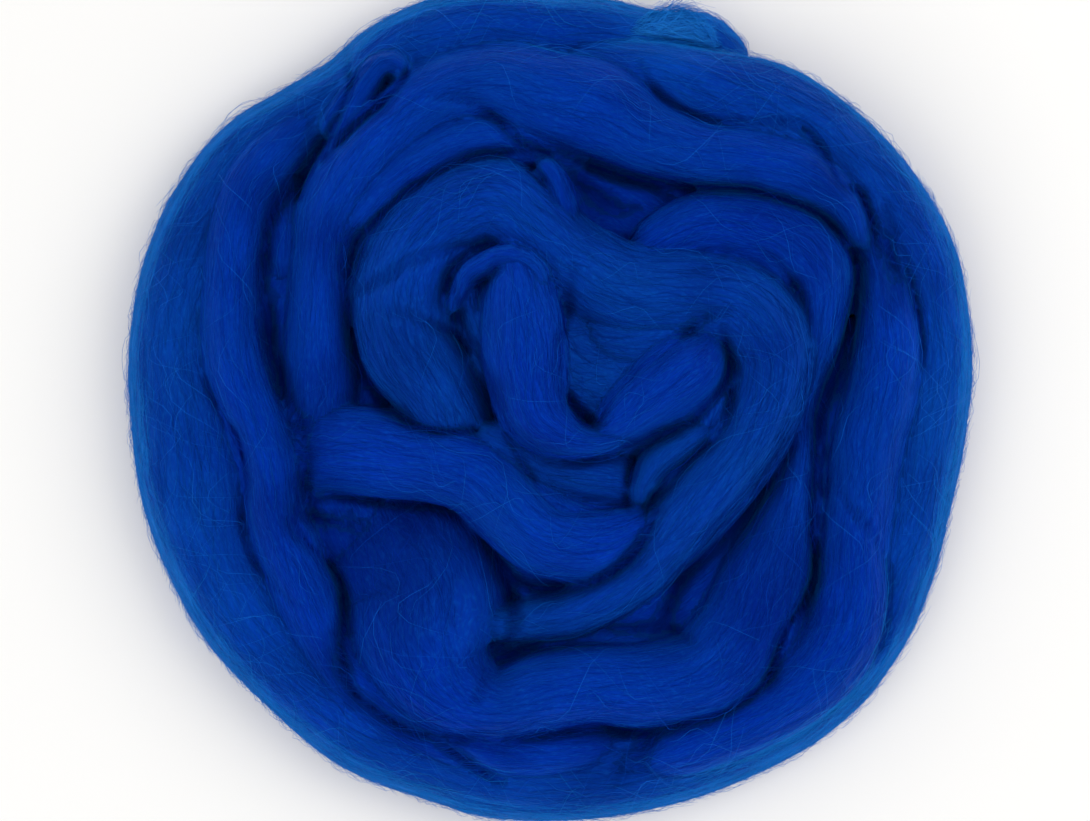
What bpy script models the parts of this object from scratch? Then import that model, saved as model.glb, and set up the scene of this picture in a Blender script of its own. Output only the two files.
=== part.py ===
"""A nest of combed wool roving: one long soft strand, wound into a flat round bundle and laid on a table.

Run with:  blender --background --python part.py

The strand is too soft to keep a round section.  Where it lies it is flattened, and where it crosses itself
it heaps up, so each visible run of it is described by a table, one row for each place along the run:

    x, y   where the middle of the strand lies, seen from above, from the middle of the nest
    low    the height of its underside (below the table top where its weight presses it flat)
    top    the height of its crown
    wide   its width

All tables are in millimetres.  The runs are lofted one by one, and a voxel remesh presses them into the one
body that the bundle is.
"""

from collections import namedtuple
from math import ceil, copysign, cos, sin, sqrt, tau

import bmesh
import bpy
from mathutils import Vector

MM = 0.001
UP = Vector((0, 0, 1))

# Driving sizes, in millimetres.
TABLE_SINK = -3.0  # how far a run that lies on the table would reach below it if it weren't flattened

# How the solid is made.
RING_SIDES = 20  # points round a section of the strand
RING_STEP = 5.0  # between two sections, in millimetres
SQUARENESS = 2.15  # 2 is an ellipse, and more is boxier
TIP_BLUNTNESS = 0.6  # how far an end's rounding reaches back, in widths
TIP_LEAST = 0.12  # the share of the full section that is left at the very tip
VOXEL = 1.6  # of the remesh that joins the runs, in millimetres
SOFTENING = 4  # rounds of smoothing over the creases where two runs meet
SOLID_FACES = 10400  # triangles kept in the solid
TABLE_REACH = 0.15  # wool this near the table top lies on it, in millimetres

Row = namedtuple("Row", "x y low top wide")

FLAT = TABLE_SINK

# The runs, from the loose end at the rim to the tip in the middle.
OUTER_RING = [
    Row(60, 104, 2, 10, 6),
    Row(54, 108, 0, 15, 12),
    Row(45, 111, FLAT, 18, 15),
    Row(33, 110, FLAT, 20, 17),
    Row(15, 111, FLAT, 23, 23),
    Row(-2, 112, FLAT, 24, 24),
    Row(-18, 113, FLAT, 25, 24),
    Row(-34, 110, FLAT, 26, 24),
    Row(-48, 104, FLAT, 26, 23),
    Row(-62, 95, FLAT, 25, 23),
    Row(-77, 85, FLAT, 25, 24),
    Row(-91, 73, FLAT, 25, 26),
    Row(-102, 56, FLAT, 26, 28),
    Row(-110, 37, FLAT, 27, 28),
    Row(-113, 17, FLAT, 27, 29),
    Row(-110, -4, FLAT, 27, 34),
    Row(-107, -24, FLAT, 27, 35),
    Row(-103, -44, FLAT, 27, 33),
    Row(-93, -64, FLAT, 27, 31),
    Row(-78, -81, FLAT, 26, 30),
    Row(-56, -97, FLAT, 26, 29),
    Row(-34, -106, FLAT, 25, 29),
    Row(-12, -110, FLAT, 25, 29),
    Row(12, -110, FLAT, 24, 28),
    Row(34, -108, FLAT, 24, 27),
    Row(56, -100, FLAT, 24, 27),
    Row(77, -88, FLAT, 24, 27),
    Row(93, -70, FLAT, 25, 27),
    Row(103, -49, FLAT, 25, 26),
    Row(109, -26, FLAT, 26, 26),
    Row(113, -2, FLAT, 26, 26),
    Row(114, 19, FLAT, 26, 26),
    Row(110, 40, FLAT, 28, 27),
    Row(99, 58, FLAT, 31, 30),
    Row(84, 74, 0, 33, 31),
    Row(66, 85, 2, 34, 30),
    Row(48, 93, 6, 34, 26),
    Row(32, 99, 8, 32, 19),
    Row(18, 102, 8, 27, 15),
    Row(4, 105, 8, 23, 10),
]
LOOSE_TUFT = [
    Row(22, 111, 8, 20, 6),
    Row(31, 113, 6, 22, 10),
    Row(40, 113, 4, 20, 12),
    Row(47, 110, 0, 17, 11),
    Row(51, 107, 0, 13, 7),
]
SECOND_TURN_LEFT = [
    Row(-66, 92, 2, 22, 9),
    Row(-80, 80, 0, 27, 16),
    Row(-91, 66, 0, 30, 18),
    Row(-96, 50, FLAT, 31, 18),
    Row(-97, 34, FLAT, 32, 18),
    Row(-97, 20, FLAT, 33, 18),
    Row(-94, 6, FLAT, 34, 19),
    Row(-89, -7, FLAT, 34, 19),
    Row(-85, -20, FLAT, 34, 19),
    Row(-83, -34, FLAT, 34, 19),
    Row(-78, -49, FLAT, 33, 20),
    Row(-72, -64, FLAT, 31, 19),
    Row(-66, -78, FLAT, 29, 17),
    Row(-54, -91, FLAT, 28, 17),
    Row(-36, -101, FLAT, 28, 19),
    Row(-15, -105, FLAT, 28, 20),
    Row(5, -105, FLAT, 27, 18),
    Row(22, -103, FLAT, 20, 12),
]
SIDE_SLIP = [
    Row(-79, 70, 0, 16, 6),
    Row(-81, 58, 0, 21, 14),
    Row(-81, 46, 0, 21, 15),
    Row(-81, 33, 0, 16, 9),
]
SECOND_TURN_RIGHT = [
    Row(14, -117, 0, 12, 4),
    Row(24, -112, 0, 19, 11),
    Row(34, -107, FLAT, 26, 17),
    Row(46, -102, FLAT, 30, 21),
    Row(61, -95, FLAT, 31, 22),
    Row(76, -85, FLAT, 33, 24),
    Row(86, -73, FLAT, 34, 25),
    Row(91, -58, FLAT, 34, 24),
    Row(92, -42, FLAT, 34, 22),
    Row(94, -27, FLAT, 34, 22),
    Row(96, -12, FLAT, 34, 23),
    Row(100, 3, FLAT, 34, 23),
    Row(102, 17, FLAT, 33, 21),
    Row(101, 31, FLAT, 32, 17),
    Row(98, 44, 0, 31, 14),
    Row(95, 57, 4, 30, 9),
]
UPPER_BAND = [
    Row(94, 47, 8, 30, 8),
    Row(88, 60, 8, 36, 12),
    Row(76, 69, 8, 39, 18),
    Row(61, 73, 8, 40, 18),
    Row(45, 75, 8, 40, 19),
    Row(30, 80, 8, 40, 22),
    Row(15, 88, 8, 39, 28),
    Row(0, 92, 6, 38, 27),
    Row(-15, 96, 4, 37, 24),
    Row(-31, 94, 2, 36, 22),
    Row(-46, 85, 0, 36, 23),
    Row(-58, 72, 0, 36, 23),
    Row(-66, 59, 0, 35, 21),
    Row(-69, 46, 0, 34, 17),
    Row(-70, 31, 0, 32, 19),
    Row(-70, 16, 0, 30, 21),
    Row(-70, 3, 0, 27, 22),
    Row(-70, -9, 0, 22, 24),
    Row(-68, -22, 0, 15, 22),
]
SPLIT_LOBE = [
    Row(12, 74, 6, 22, 10),
    Row(-2, 77, 4, 28, 15),
    Row(-16, 80, 2, 32, 17),
    Row(-30, 77, 0, 34, 18),
    Row(-43, 69, 0, 35, 18),
    Row(-54, 58, 0, 34, 17),
    Row(-61, 46, 0, 31, 15),
    Row(-63, 33, 0, 27, 13),
    Row(-64, 22, 0, 22, 10),
]
LOWER_LOOP = [
    Row(25, 44, 8, 26, 9),
    Row(34, 49, 8, 32, 17),
    Row(46, 53, 6, 36, 21),
    Row(59, 52, 4, 38, 23),
    Row(72, 47, 2, 38, 25),
    Row(80, 37, 0, 36, 23),
    Row(80, 24, 0, 32, 18),
    Row(78, 9, FLAT, 25, 12),
    Row(75, -6, FLAT, 22, 11),
    Row(73, -21, FLAT, 26, 13),
    Row(69, -37, FLAT, 31, 20),
    Row(64, -53, FLAT, 34, 28),
    Row(58, -69, FLAT, 36, 31),
    Row(46, -81, FLAT, 38, 28),
    Row(30, -86, FLAT, 39, 23),
    Row(14, -86, FLAT, 39, 22),
    Row(-2, -88, FLAT, 39, 22),
    Row(-17, -91, FLAT, 38, 24),
    Row(-31, -84, FLAT, 37, 34),
    Row(-37, -71, FLAT, 36, 45),
    Row(-38, -57, FLAT, 31, 48),
    Row(-44, -44, FLAT, 25, 50),
    Row(-50, -32, FLAT, 19, 54),
    Row(-53, -22, FLAT, 15, 46),
]
MIDDLE_BAND = [
    Row(-92, -16, 0, 18, 16),
    Row(-81, -15, 0, 23, 22),
    Row(-70, -14, 4, 26, 24),
    Row(-58, -14, 8, 33, 26),
    Row(-45, -16, 8, 38, 25),
    Row(-33, -18, 8, 41, 24),
    Row(-22, -22, 8, 42, 25),
    Row(-12, -31, 8, 43, 25),
    Row(-2, -39, 8, 43, 25),
    Row(10, -42, 8, 42, 23),
    Row(21, -40, 8, 40, 19),
    Row(31, -34, 10, 34, 10),
]
HEART_LOOP = [
    Row(-26, -17, 2, 22, 16),
    Row(-29, -7, 4, 33, 25),
    Row(-35, 5, 6, 40, 27),
    Row(-42, 17, 8, 42, 30),
    Row(-45, 31, 8, 42, 29),
    Row(-41, 45, 8, 42, 28),
    Row(-30, 56, 8, 42, 27),
    Row(-17, 60, 8, 43, 27),
    Row(-5, 52, 8, 43, 26),
    Row(8, 41, 8, 42, 27),
    Row(24, 33, 8, 41, 29),
    Row(42, 32, 8, 42, 28),
    Row(57, 28, 8, 43, 28),
    Row(66, 17, 8, 44, 25),
    Row(66, 4, 8, 44, 23),
    Row(59, -11, 8, 44, 24),
    Row(49, -26, 8, 44, 25),
    Row(37, -41, 6, 43, 24),
    Row(23, -54, 4, 39, 20),
    Row(6, -63, 2, 34, 15),
    Row(-10, -66, 0, 30, 12),
    Row(-26, -68, 0, 24, 9),
]
HEART_FLOOR = [
    Row(0, 24, 6, 30, 16),
    Row(10, 20, 4, 35, 30),
    Row(24, 18, 4, 37, 34),
    Row(40, 20, 4, 38, 34),
    Row(56, 20, 4, 38, 26),
]
TONGUE_FLOOR = [
    Row(-18, 44, 0, 39, 20),
    Row(-14, 28, 0, 40, 34),
    Row(-2, 14, 0, 38, 44),
    Row(16, 6, 0, 37, 46),
    Row(34, 4, 0, 38, 42),
    Row(46, 2, 0, 37, 34),
    Row(40, -16, 0, 35, 26),
]
TONGUE = [
    Row(-13, 46, 22, 44, 7),
    Row(-10, 40, 18, 50, 15),
    Row(-9, 30, 16, 52, 22),
    Row(-8, 18, 16, 52, 25),
    Row(-7, 6, 16, 51, 24),
    Row(-4, -4, 16, 50, 21),
    Row(4, -10, 16, 47, 15),
    Row(14, -12, 18, 45, 8),
    Row(23, -9, 18, 42, 9),
]
TONGUE_RIGHT = [
    Row(12, -9, 18, 42, 8),
    Row(19, -6, 16, 46, 15),
    Row(27, 0, 16, 47, 20),
    Row(36, 7, 16, 47, 23),
    Row(44, 13, 16, 46, 22),
    Row(50, 19, 18, 43, 14),
]
TONGUE_LIP = [
    Row(-29, 28, 22, 38, 3),
    Row(-27, 34, 22, 43, 5),
    Row(-24, 39, 22, 46, 6),
    Row(-19, 42, 24, 48, 7),
    Row(-13, 44, 26, 50, 7),
    Row(-6, 41, 26, 50, 7),
    Row(-2, 35, 26, 48, 5),
]
WEDGE = [
    Row(46, -8, 12, 37, 8),
    Row(38, -13, 12, 41, 12),
    Row(31, -20, 12, 43, 12),
    Row(27, -27, 14, 43, 8),
    Row(28, -32, 18, 41, 4),
]
UNDER_TONGUE = [
    Row(-7, -17, 4, 29, 13),
    Row(4, -22, 4, 34, 18),
    Row(18, -23, 4, 34, 19),
    Row(29, -26, 4, 32, 16),
]
THIN_CURL = [
    Row(-68, 79, 20, 31, 6),
    Row(-62, 88, 20, 32, 8),
    Row(-57, 95, 20, 32, 8),
    Row(-52, 101, 20, 32, 7),
    Row(-47, 102, 22, 33, 7),
    Row(-43, 98, 24, 34, 5),
]
TOP_SLIP = [
    Row(-4, 73, 16, 37, 5),
    Row(1, 68, 14, 39, 7),
    Row(4, 61, 12, 39, 7),
    Row(6, 53, 10, 37, 5),
]
POCKET_TOP = [
    Row(12, 70, 0, 13, 22),
    Row(22, 60, 0, 13, 28),
    Row(36, 62, 0, 15, 20),
]
POCKET_BOTTOM = [
    Row(37, -59, 0, 15, 16),
    Row(27, -70, 0, 16, 16),
    Row(9, -72, 0, 16, 14),
    Row(-3, -72, 0, 15, 14),
]

# The first turns, laid flat on the table before the rest was heaped on them: a plain spiral.
BASE_START = -8.0  # its radius at the start, below zero so that the strand begins across the middle
BASE_PITCH = 22.0
BASE_WIDTH = 27.0
BASE_TURNS = 5.0
BASE_TOP = 19.0
BASE_POINTS_A_TURN = 12


def base_turns():
    """The rows of the flat spiral under the nest."""
    count = round(BASE_TURNS * BASE_POINTS_A_TURN)
    rows = []
    for i in range(count + 1):
        turns = i / BASE_POINTS_A_TURN
        radius = BASE_START + BASE_PITCH * turns
        angle = tau * turns
        rows.append(Row(radius * cos(angle), radius * sin(angle), FLAT, BASE_TOP, BASE_WIDTH))
    return rows


RUNS = {
    "outer_ring": OUTER_RING,
    "loose_tuft": LOOSE_TUFT,
    "second_turn_left": SECOND_TURN_LEFT,
    "side_slip": SIDE_SLIP,
    "second_turn_right": SECOND_TURN_RIGHT,
    "upper_band": UPPER_BAND,
    "split_lobe": SPLIT_LOBE,
    "lower_loop": LOWER_LOOP,
    "middle_band": MIDDLE_BAND,
    "heart_loop": HEART_LOOP,
    "heart_floor": HEART_FLOOR,
    "tongue_floor": TONGUE_FLOOR,
    "tongue": TONGUE,
    "tongue_right": TONGUE_RIGHT,
    "tongue_lip": TONGUE_LIP,
    "wedge": WEDGE,
    "under_tongue": UNDER_TONGUE,
    "thin_curl": THIN_CURL,
    "top_slip": TOP_SLIP,
    "pocket_top": POCKET_TOP,
    "pocket_bottom": POCKET_BOTTOM,
    "base_turns": base_turns(),
}


def clear_scene():
    for obj in list(bpy.data.objects):
        bpy.data.objects.remove(obj)


def between(before, start, end, after, t):
    """A Catmull-Rom curve's value between start and end, t from 0 to 1."""
    return 0.5 * (
        2 * start
        + (end - before) * t
        + (2 * before - 5 * start + 4 * end - after) * t**2
        + (3 * start - before - 3 * end + after) * t**3
    )


def smooth(rows, step):
    """Rows about step apart on one smooth curve through the given rows."""
    fine = []
    for i in range(len(rows) - 1):
        four = [rows[max(i - 1, 0)], rows[i], rows[i + 1], rows[min(i + 2, len(rows) - 1)]]
        gap = sqrt((four[2].x - four[1].x) ** 2 + (four[2].y - four[1].y) ** 2)
        pieces = max(1, ceil(gap / step))
        for k in range(pieces):
            fine.append(Row(*(between(*column, k / pieces) for column in zip(*four))))
    fine.append(rows[-1])
    return fine


def rounded(value):
    """A sine or cosine, pushed outwards so that the section is a little boxier than an ellipse."""
    return copysign(abs(value) ** (2 / SQUARENESS), value)


def tip_share(from_tip, width):
    """How much of the full section is left at this distance from the nearer end of a run."""
    reach = TIP_BLUNTNESS * width
    if from_tip >= reach:
        return 1.0
    return max(TIP_LEAST, sqrt(1 - (1 - from_tip / reach) ** 2))


def sections(rows):
    """The rings of points that a run is lofted through."""
    centres = [Vector((row.x, row.y, (row.low + row.top) / 2)) for row in rows]
    along = [0.0]
    for a, b in zip(centres, centres[1:]):
        along.append(along[-1] + (b - a).length)
    rings = []
    for i, (row, centre) in enumerate(zip(rows, centres)):
        ahead = (centres[min(i + 1, len(rows) - 1)] - centres[max(i - 1, 0)]).normalized()
        side = ahead.cross(UP).normalized()
        up = side.cross(ahead)
        share = tip_share(min(along[i], along[-1] - along[i]), row.wide)
        half_width = row.wide / 2 * share
        half_height = (row.top - row.low) / 2 * share
        ring = []
        for k in range(RING_SIDES):
            angle = tau * k / RING_SIDES
            out = side * rounded(cos(angle)) * half_width + up * rounded(sin(angle)) * half_height
            ring.append((centre + out) * MM)
        rings.append(ring)
    return rings


def loft(shape, rings):
    """Adds a closed tube through these rings to a bmesh."""
    made = [[shape.verts.new(point) for point in ring] for ring in rings]
    for near, far in zip(made, made[1:]):
        for k in range(RING_SIDES):
            n = (k + 1) % RING_SIDES
            shape.faces.new((near[k], near[n], far[n], far[k]))
    shape.faces.new(reversed(made[0]))
    shape.faces.new(made[-1])


def object_from(shape, name, collection):
    mesh = bpy.data.meshes.new(name)
    shape.to_mesh(mesh)
    shape.free()
    obj = bpy.data.objects.new(name, mesh)
    collection.objects.link(obj)
    return obj


def evaluated(obj):
    """A bmesh of the object with its modifiers."""
    bpy.context.view_layer.update()
    shape = bmesh.new()
    shape.from_object(obj, bpy.context.evaluated_depsgraph_get())
    return shape


def islands(shape):
    """The sets of vertices that hang together."""
    left = set(shape.verts)
    while left:
        island, front = set(), [left.pop()]
        while front:
            vert = front.pop()
            island.add(vert)
            for edge in vert.link_edges:
                other = edge.other_vert(vert)
                if other in left:
                    left.remove(other)
                    front.append(other)
        yield island


def keep_outer_skin(shape):
    """Drops the walls of the small pockets of air that the folds close in."""
    parts = sorted(islands(shape), key=len)
    for part in parts[:-1]:
        bmesh.ops.delete(shape, geom=list(part), context="VERTS")


def press_on_table(shape, reach=0.0):
    """The wool that would reach below the table top, or comes within reach of it, lies flat on it."""
    for vert in shape.verts:
        if vert.co.z < reach:
            vert.co.z = 0.0


def centre_on_table(shape):
    """Puts the middle of the bundle's box over the origin."""
    xs = [vert.co.x for vert in shape.verts]
    ys = [vert.co.y for vert in shape.verts]
    middle = Vector(((min(xs) + max(xs)) / 2, (min(ys) + max(ys)) / 2, 0))
    bmesh.ops.translate(shape, verts=shape.verts, vec=-middle)


def wool():
    """Dyed royal blue, and dull as loose fibres are."""
    material = bpy.data.materials.new("royal_blue_wool")
    material.use_nodes = True
    shader = material.node_tree.nodes["Principled BSDF"]
    shader.inputs["Base Color"].default_value = (0.002, 0.040, 0.330, 1)
    shader.inputs["Roughness"].default_value = 0.9
    shader.inputs["Sheen Weight"].default_value = 0.4
    return material


def build():
    clear_scene()
    collection = bpy.data.collections.new("wool_roving_nest")
    bpy.context.scene.collection.children.link(collection)

    shape = bmesh.new()
    for rows in RUNS.values():
        loft(shape, sections(smooth(rows, RING_STEP)))
    bmesh.ops.recalc_face_normals(shape, faces=shape.faces)
    heap = object_from(shape, "heap", collection)
    remesh = heap.modifiers.new("press_together", "REMESH")
    remesh.mode = "VOXEL"
    remesh.voxel_size = VOXEL * MM
    soften = heap.modifiers.new("soften", "SMOOTH")
    soften.factor = 0.5
    soften.iterations = SOFTENING

    shape = evaluated(heap)
    bpy.data.objects.remove(heap)
    keep_outer_skin(shape)
    press_on_table(shape)
    centre_on_table(shape)
    bmesh.ops.triangulate(shape, faces=shape.faces)
    triangles = len(shape.faces)
    fine = object_from(shape, "fine", collection)
    thin = fine.modifiers.new("fewer_faces", "DECIMATE")
    thin.ratio = SOLID_FACES / triangles

    shape = evaluated(fine)
    bpy.data.objects.remove(fine)
    press_on_table(shape, TABLE_REACH * MM)
    bmesh.ops.triangulate(shape, faces=shape.faces)
    for face in shape.faces:
        face.smooth = True
    roving = object_from(shape, "roving", collection)
    roving.data.materials.append(wool())
    return roving


build()
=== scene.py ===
# %% [markdown]
# # A nest of wool roving
#
# Roving is wool that has been washed and combed until its fibres lie side by side in one long, soft
# strand as thick as a thumb, but not yet spun. This one is dyed royal blue and wound into a flat nest.
# Four things make it look like wool: the folds of the strand, which sag and press against each other
# with a crease between them; the fine streaks that the combed fibres draw along it; the dye, which no
# lock takes quite like the next; and the loose fibres that stand off it as a soft haze.

from collections import namedtuple
from math import cos, sin, tau

import bmesh
import bpy
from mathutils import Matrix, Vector


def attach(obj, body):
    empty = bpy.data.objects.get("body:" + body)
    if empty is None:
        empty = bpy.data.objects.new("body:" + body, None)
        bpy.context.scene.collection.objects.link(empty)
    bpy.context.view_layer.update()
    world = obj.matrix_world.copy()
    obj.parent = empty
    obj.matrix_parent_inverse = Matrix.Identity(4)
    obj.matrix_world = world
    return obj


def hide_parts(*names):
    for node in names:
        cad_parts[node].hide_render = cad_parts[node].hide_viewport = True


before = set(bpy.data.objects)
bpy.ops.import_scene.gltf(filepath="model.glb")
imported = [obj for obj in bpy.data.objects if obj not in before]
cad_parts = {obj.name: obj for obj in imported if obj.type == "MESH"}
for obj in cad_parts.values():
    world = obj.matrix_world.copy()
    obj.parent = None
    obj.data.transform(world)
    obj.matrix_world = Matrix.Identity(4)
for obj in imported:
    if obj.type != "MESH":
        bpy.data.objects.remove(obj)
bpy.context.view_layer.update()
NODE = "roving"

# %% [markdown]
# ## Units
#
# A nest is easiest to think of in millimetres, and Blender's scene is in metres, so every table below is
# in millimetres and is converted in one place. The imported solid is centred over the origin, and the
# tables are not quite, so the nest is moved by the small difference.

# %% Units
MM = 0.001
NEST_MIDDLE_MM = Vector((-0.24, 0.17, 0))
FLAT = -3.0  # where a run that lies on the table would reach, if its weight didn't press it flat


def place(x, y, z):
    """A point of the tables, in metres from the middle of the finished nest."""
    return (Vector((x, y, z)) - NEST_MIDDLE_MM) * MM


# %% [markdown]
# ## The table, the camera and the light
#
# The nest lies on a white table and is seen from straight above. A long lens a metre and a half up keeps
# the tall folds in the middle from looking bigger than the low ones at the rim. The light is a big soft
# window up and to the right, with a cooler one opposite: it has to reach down into the creases and still
# leave their bottoms dark, because the creases are what tells one fold from the next.

# %% The table
bpy.ops.mesh.primitive_plane_add(size=12)
table_top = bpy.context.object
table_top.name = "table_top"
paint = bpy.data.materials.new("white_table")
paint.use_nodes = True
paint.node_tree.nodes["Principled BSDF"].inputs["Base Color"].default_value = (0.90, 0.895, 0.885, 1)
paint.node_tree.nodes["Principled BSDF"].inputs["Roughness"].default_value = 0.7
table_top.data.materials.append(paint)

# %% The camera
FRAME_WIDTH_MM = 327.0  # what the long side of the frame takes in, at the height of the folds
FOLD_HEIGHT_MM = 25.0
CAMERA_HEIGHT_MM = 1500.0
SENSOR = 36.0
camera_data = bpy.data.cameras.new("overhead")
camera_data.sensor_width = SENSOR
camera_data.lens = SENSOR * (CAMERA_HEIGHT_MM - FOLD_HEIGHT_MM) / FRAME_WIDTH_MM
camera = bpy.data.objects.new("overhead", camera_data)
camera.location = place(-1.8, -2.25, CAMERA_HEIGHT_MM)
bpy.context.scene.collection.objects.link(camera)
bpy.context.scene.camera = camera
bpy.context.scene.view_settings.view_transform = "Standard"
print("lens", round(camera_data.lens), "mm")


# %% The light
def window(name, place_m, size, watts, colour):
    """A soft rectangular light, turned to the nest."""
    light = bpy.data.lights.new(name, "AREA")
    light.size = size
    light.energy = watts
    light.color = colour
    lamp = bpy.data.objects.new(name, light)
    lamp.location = place_m
    lamp.rotation_euler = (-Vector(place_m)).to_track_quat("-Z", "Y").to_euler()
    bpy.context.scene.collection.objects.link(lamp)


window("main_window", place_m=(1.00, 0.30, 1.20), size=1.2, watts=6, colour=(1.0, 0.985, 0.96))
window("far_window", place_m=(-0.9, -0.7, 1.3), size=1.2, watts=4.5, colour=(0.94, 0.97, 1.0))
room = bpy.data.worlds.new("white_room")
room.use_nodes = True
room.node_tree.nodes["Background"].inputs["Color"].default_value = (0.985, 0.98, 0.97, 1)
room.node_tree.nodes["Background"].inputs["Strength"].default_value = 0.90
bpy.context.scene.world = room

# %% [markdown]
# ## Where the strand goes
#
# Each visible run of the strand has a table, and each row is one place along it: x and y from above, the
# height of its underside and of its crown, and its width. The solid was built from the same rows, but for
# a few that are nudged here by some millimetres. A simulated rope would never fall into these folds, so
# the places are chosen one by one, as a florist would lay it. First come the turns that go round the outside.

# %% The outside turns
Row = namedtuple("Row", "x y low top wide")
OUTER_RING = [
    Row(60, 104, 2, 10, 6),
    Row(53, 107, 0, 15, 12),
    Row(45, 111, FLAT, 18, 15),
    Row(33, 110, FLAT, 20, 17),
    Row(15, 111, FLAT, 23, 23),
    Row(-2, 112, FLAT, 24, 24),
    Row(-18, 113, FLAT, 25, 24),
    Row(-34, 110, FLAT, 26, 24),
    Row(-48, 104, FLAT, 26, 23),
    Row(-61, 94, FLAT, 25, 22),
    Row(-76, 84, FLAT, 25, 23),
    Row(-91, 73, FLAT, 25, 26),
    Row(-102, 56, FLAT, 26, 28),
    Row(-110, 37, FLAT, 27, 28),
    Row(-113, 17, FLAT, 27, 29),
    Row(-110, -4, FLAT, 27, 34),
    Row(-107, -24, FLAT, 27, 35),
    Row(-102, -43, FLAT, 27, 32),
    Row(-92, -63, FLAT, 27, 30),
    Row(-77, -80, FLAT, 26, 29),
    Row(-56, -97, FLAT, 26, 29),
    Row(-34, -106, FLAT, 25, 29),
    Row(-12, -111, FLAT, 25, 30),
    Row(12, -111, FLAT, 24, 29),
    Row(34, -108, FLAT, 24, 27),
    Row(56, -100, FLAT, 24, 27),
    Row(77, -88, FLAT, 24, 27),
    Row(93, -70, FLAT, 25, 27),
    Row(103, -49, FLAT, 25, 26),
    Row(109, -26, FLAT, 26, 26),
    Row(113, -2, FLAT, 26, 26),
    Row(114, 19, FLAT, 26, 26),
    Row(110, 40, FLAT, 28, 27),
    Row(99, 58, FLAT, 31, 30),
    Row(84, 74, 0, 33, 31),
    Row(67, 86, 2, 34, 31),
    Row(48, 93, 6, 34, 26),
    Row(32, 99, 8, 32, 19),
    Row(18, 102, 8, 27, 15),
    Row(4, 105, 8, 23, 10),
]
SECOND_TURN_LEFT = [
    Row(-66, 92, 2, 22, 9),
    Row(-80, 80, 0, 27, 16),
    Row(-91, 66, 0, 30, 18),
    Row(-96, 50, FLAT, 31, 18),
    Row(-97, 34, FLAT, 32, 18),
    Row(-97, 20, FLAT, 33, 18),
    Row(-94, 6, FLAT, 34, 19),
    Row(-89, -7, FLAT, 34, 19),
    Row(-85, -20, FLAT, 34, 19),
    Row(-83, -34, FLAT, 34, 19),
    Row(-78, -49, FLAT, 33, 20),
    Row(-72, -64, FLAT, 31, 19),
    Row(-66, -78, FLAT, 29, 17),
    Row(-54, -91, FLAT, 28, 17),
    Row(-36, -101, FLAT, 28, 19),
    Row(-15, -105, FLAT, 28, 20),
    Row(5, -105, FLAT, 27, 18),
    Row(22, -103, FLAT, 20, 12),
]
SIDE_SLIP = [
    Row(-79, 70, 0, 16, 6),
    Row(-81, 58, 0, 21, 14),
    Row(-81, 46, 0, 21, 15),
    Row(-81, 33, 0, 16, 9),
]
SECOND_TURN_RIGHT = [
    Row(14, -117, 0, 12, 4),
    Row(24, -112, 0, 19, 11),
    Row(34, -107, FLAT, 26, 17),
    Row(46, -102, FLAT, 30, 21),
    Row(61, -95, FLAT, 31, 22),
    Row(76, -85, FLAT, 33, 24),
    Row(86, -73, FLAT, 34, 25),
    Row(91, -58, FLAT, 34, 24),
    Row(92, -42, FLAT, 34, 22),
    Row(94, -27, FLAT, 34, 22),
    Row(96, -12, FLAT, 34, 23),
    Row(100, 3, FLAT, 34, 23),
    Row(102, 17, FLAT, 33, 21),
    Row(101, 31, FLAT, 32, 17),
    Row(98, 44, 0, 28, 14),
    Row(95, 57, 4, 26, 9),
]

# %% [markdown]
# The upper folds are one broad band that comes off the rim at the right, passes over the top of the
# nest and sinks down its left side, where it splits along its length. A thin curl of wool has slipped
# up between the band and the rim.

# %% The folds above the middle
UPPER_BAND = [
    Row(94, 47, 8, 30, 8),
    Row(88, 60, 8, 36, 12),
    Row(76, 69, 8, 39, 18),
    Row(61, 73, 8, 40, 18),
    Row(45, 75, 8, 40, 19),
    Row(30, 80, 8, 40, 22),
    Row(15, 88, 8, 39, 28),
    Row(0, 92, 6, 38, 27),
    Row(-15, 96, 4, 37, 24),
    Row(-31, 94, 2, 36, 22),
    Row(-46, 85, 0, 36, 23),
    Row(-58, 72, 0, 36, 23),
    Row(-66, 59, 0, 35, 21),
    Row(-69, 46, 0, 34, 17),
    Row(-70, 31, 0, 32, 19),
    Row(-70, 16, 0, 30, 21),
    Row(-70, 3, 0, 27, 22),
    Row(-70, -9, 0, 22, 24),
    Row(-68, -22, 0, 15, 22),
]
SPLIT_LOBE = [
    Row(12, 74, 6, 22, 10),
    Row(-2, 77, 4, 28, 15),
    Row(-16, 80, 2, 32, 17),
    Row(-30, 77, 0, 34, 18),
    Row(-43, 69, 0, 35, 18),
    Row(-54, 58, 0, 34, 17),
    Row(-61, 46, 0, 31, 15),
    Row(-63, 33, 0, 27, 13),
    Row(-64, 22, 0, 22, 10),
]
THIN_CURL = [
    Row(-68, 79, 20, 31, 6),
    Row(-62, 88, 20, 32, 8),
    Row(-57, 95, 20, 32, 8),
    Row(-52, 101, 20, 32, 7),
    Row(-47, 102, 22, 33, 7),
    Row(-43, 98, 24, 34, 5),
]
TOP_SLIP = [
    Row(-4, 73, 16, 37, 5),
    Row(1, 68, 14, 39, 7),
    Row(4, 61, 12, 39, 7),
    Row(6, 53, 10, 37, 5),
]
POCKET_TOP = [
    Row(12, 70, 0, 13, 22),
    Row(22, 60, 0, 13, 28),
    Row(36, 62, 0, 15, 20),
]

# %% [markdown]
# The lower folds start under the upper band, go down the right side, sweep left along the bottom and
# turn up into a broad loop. A second band comes in from the left and passes over that loop.

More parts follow.
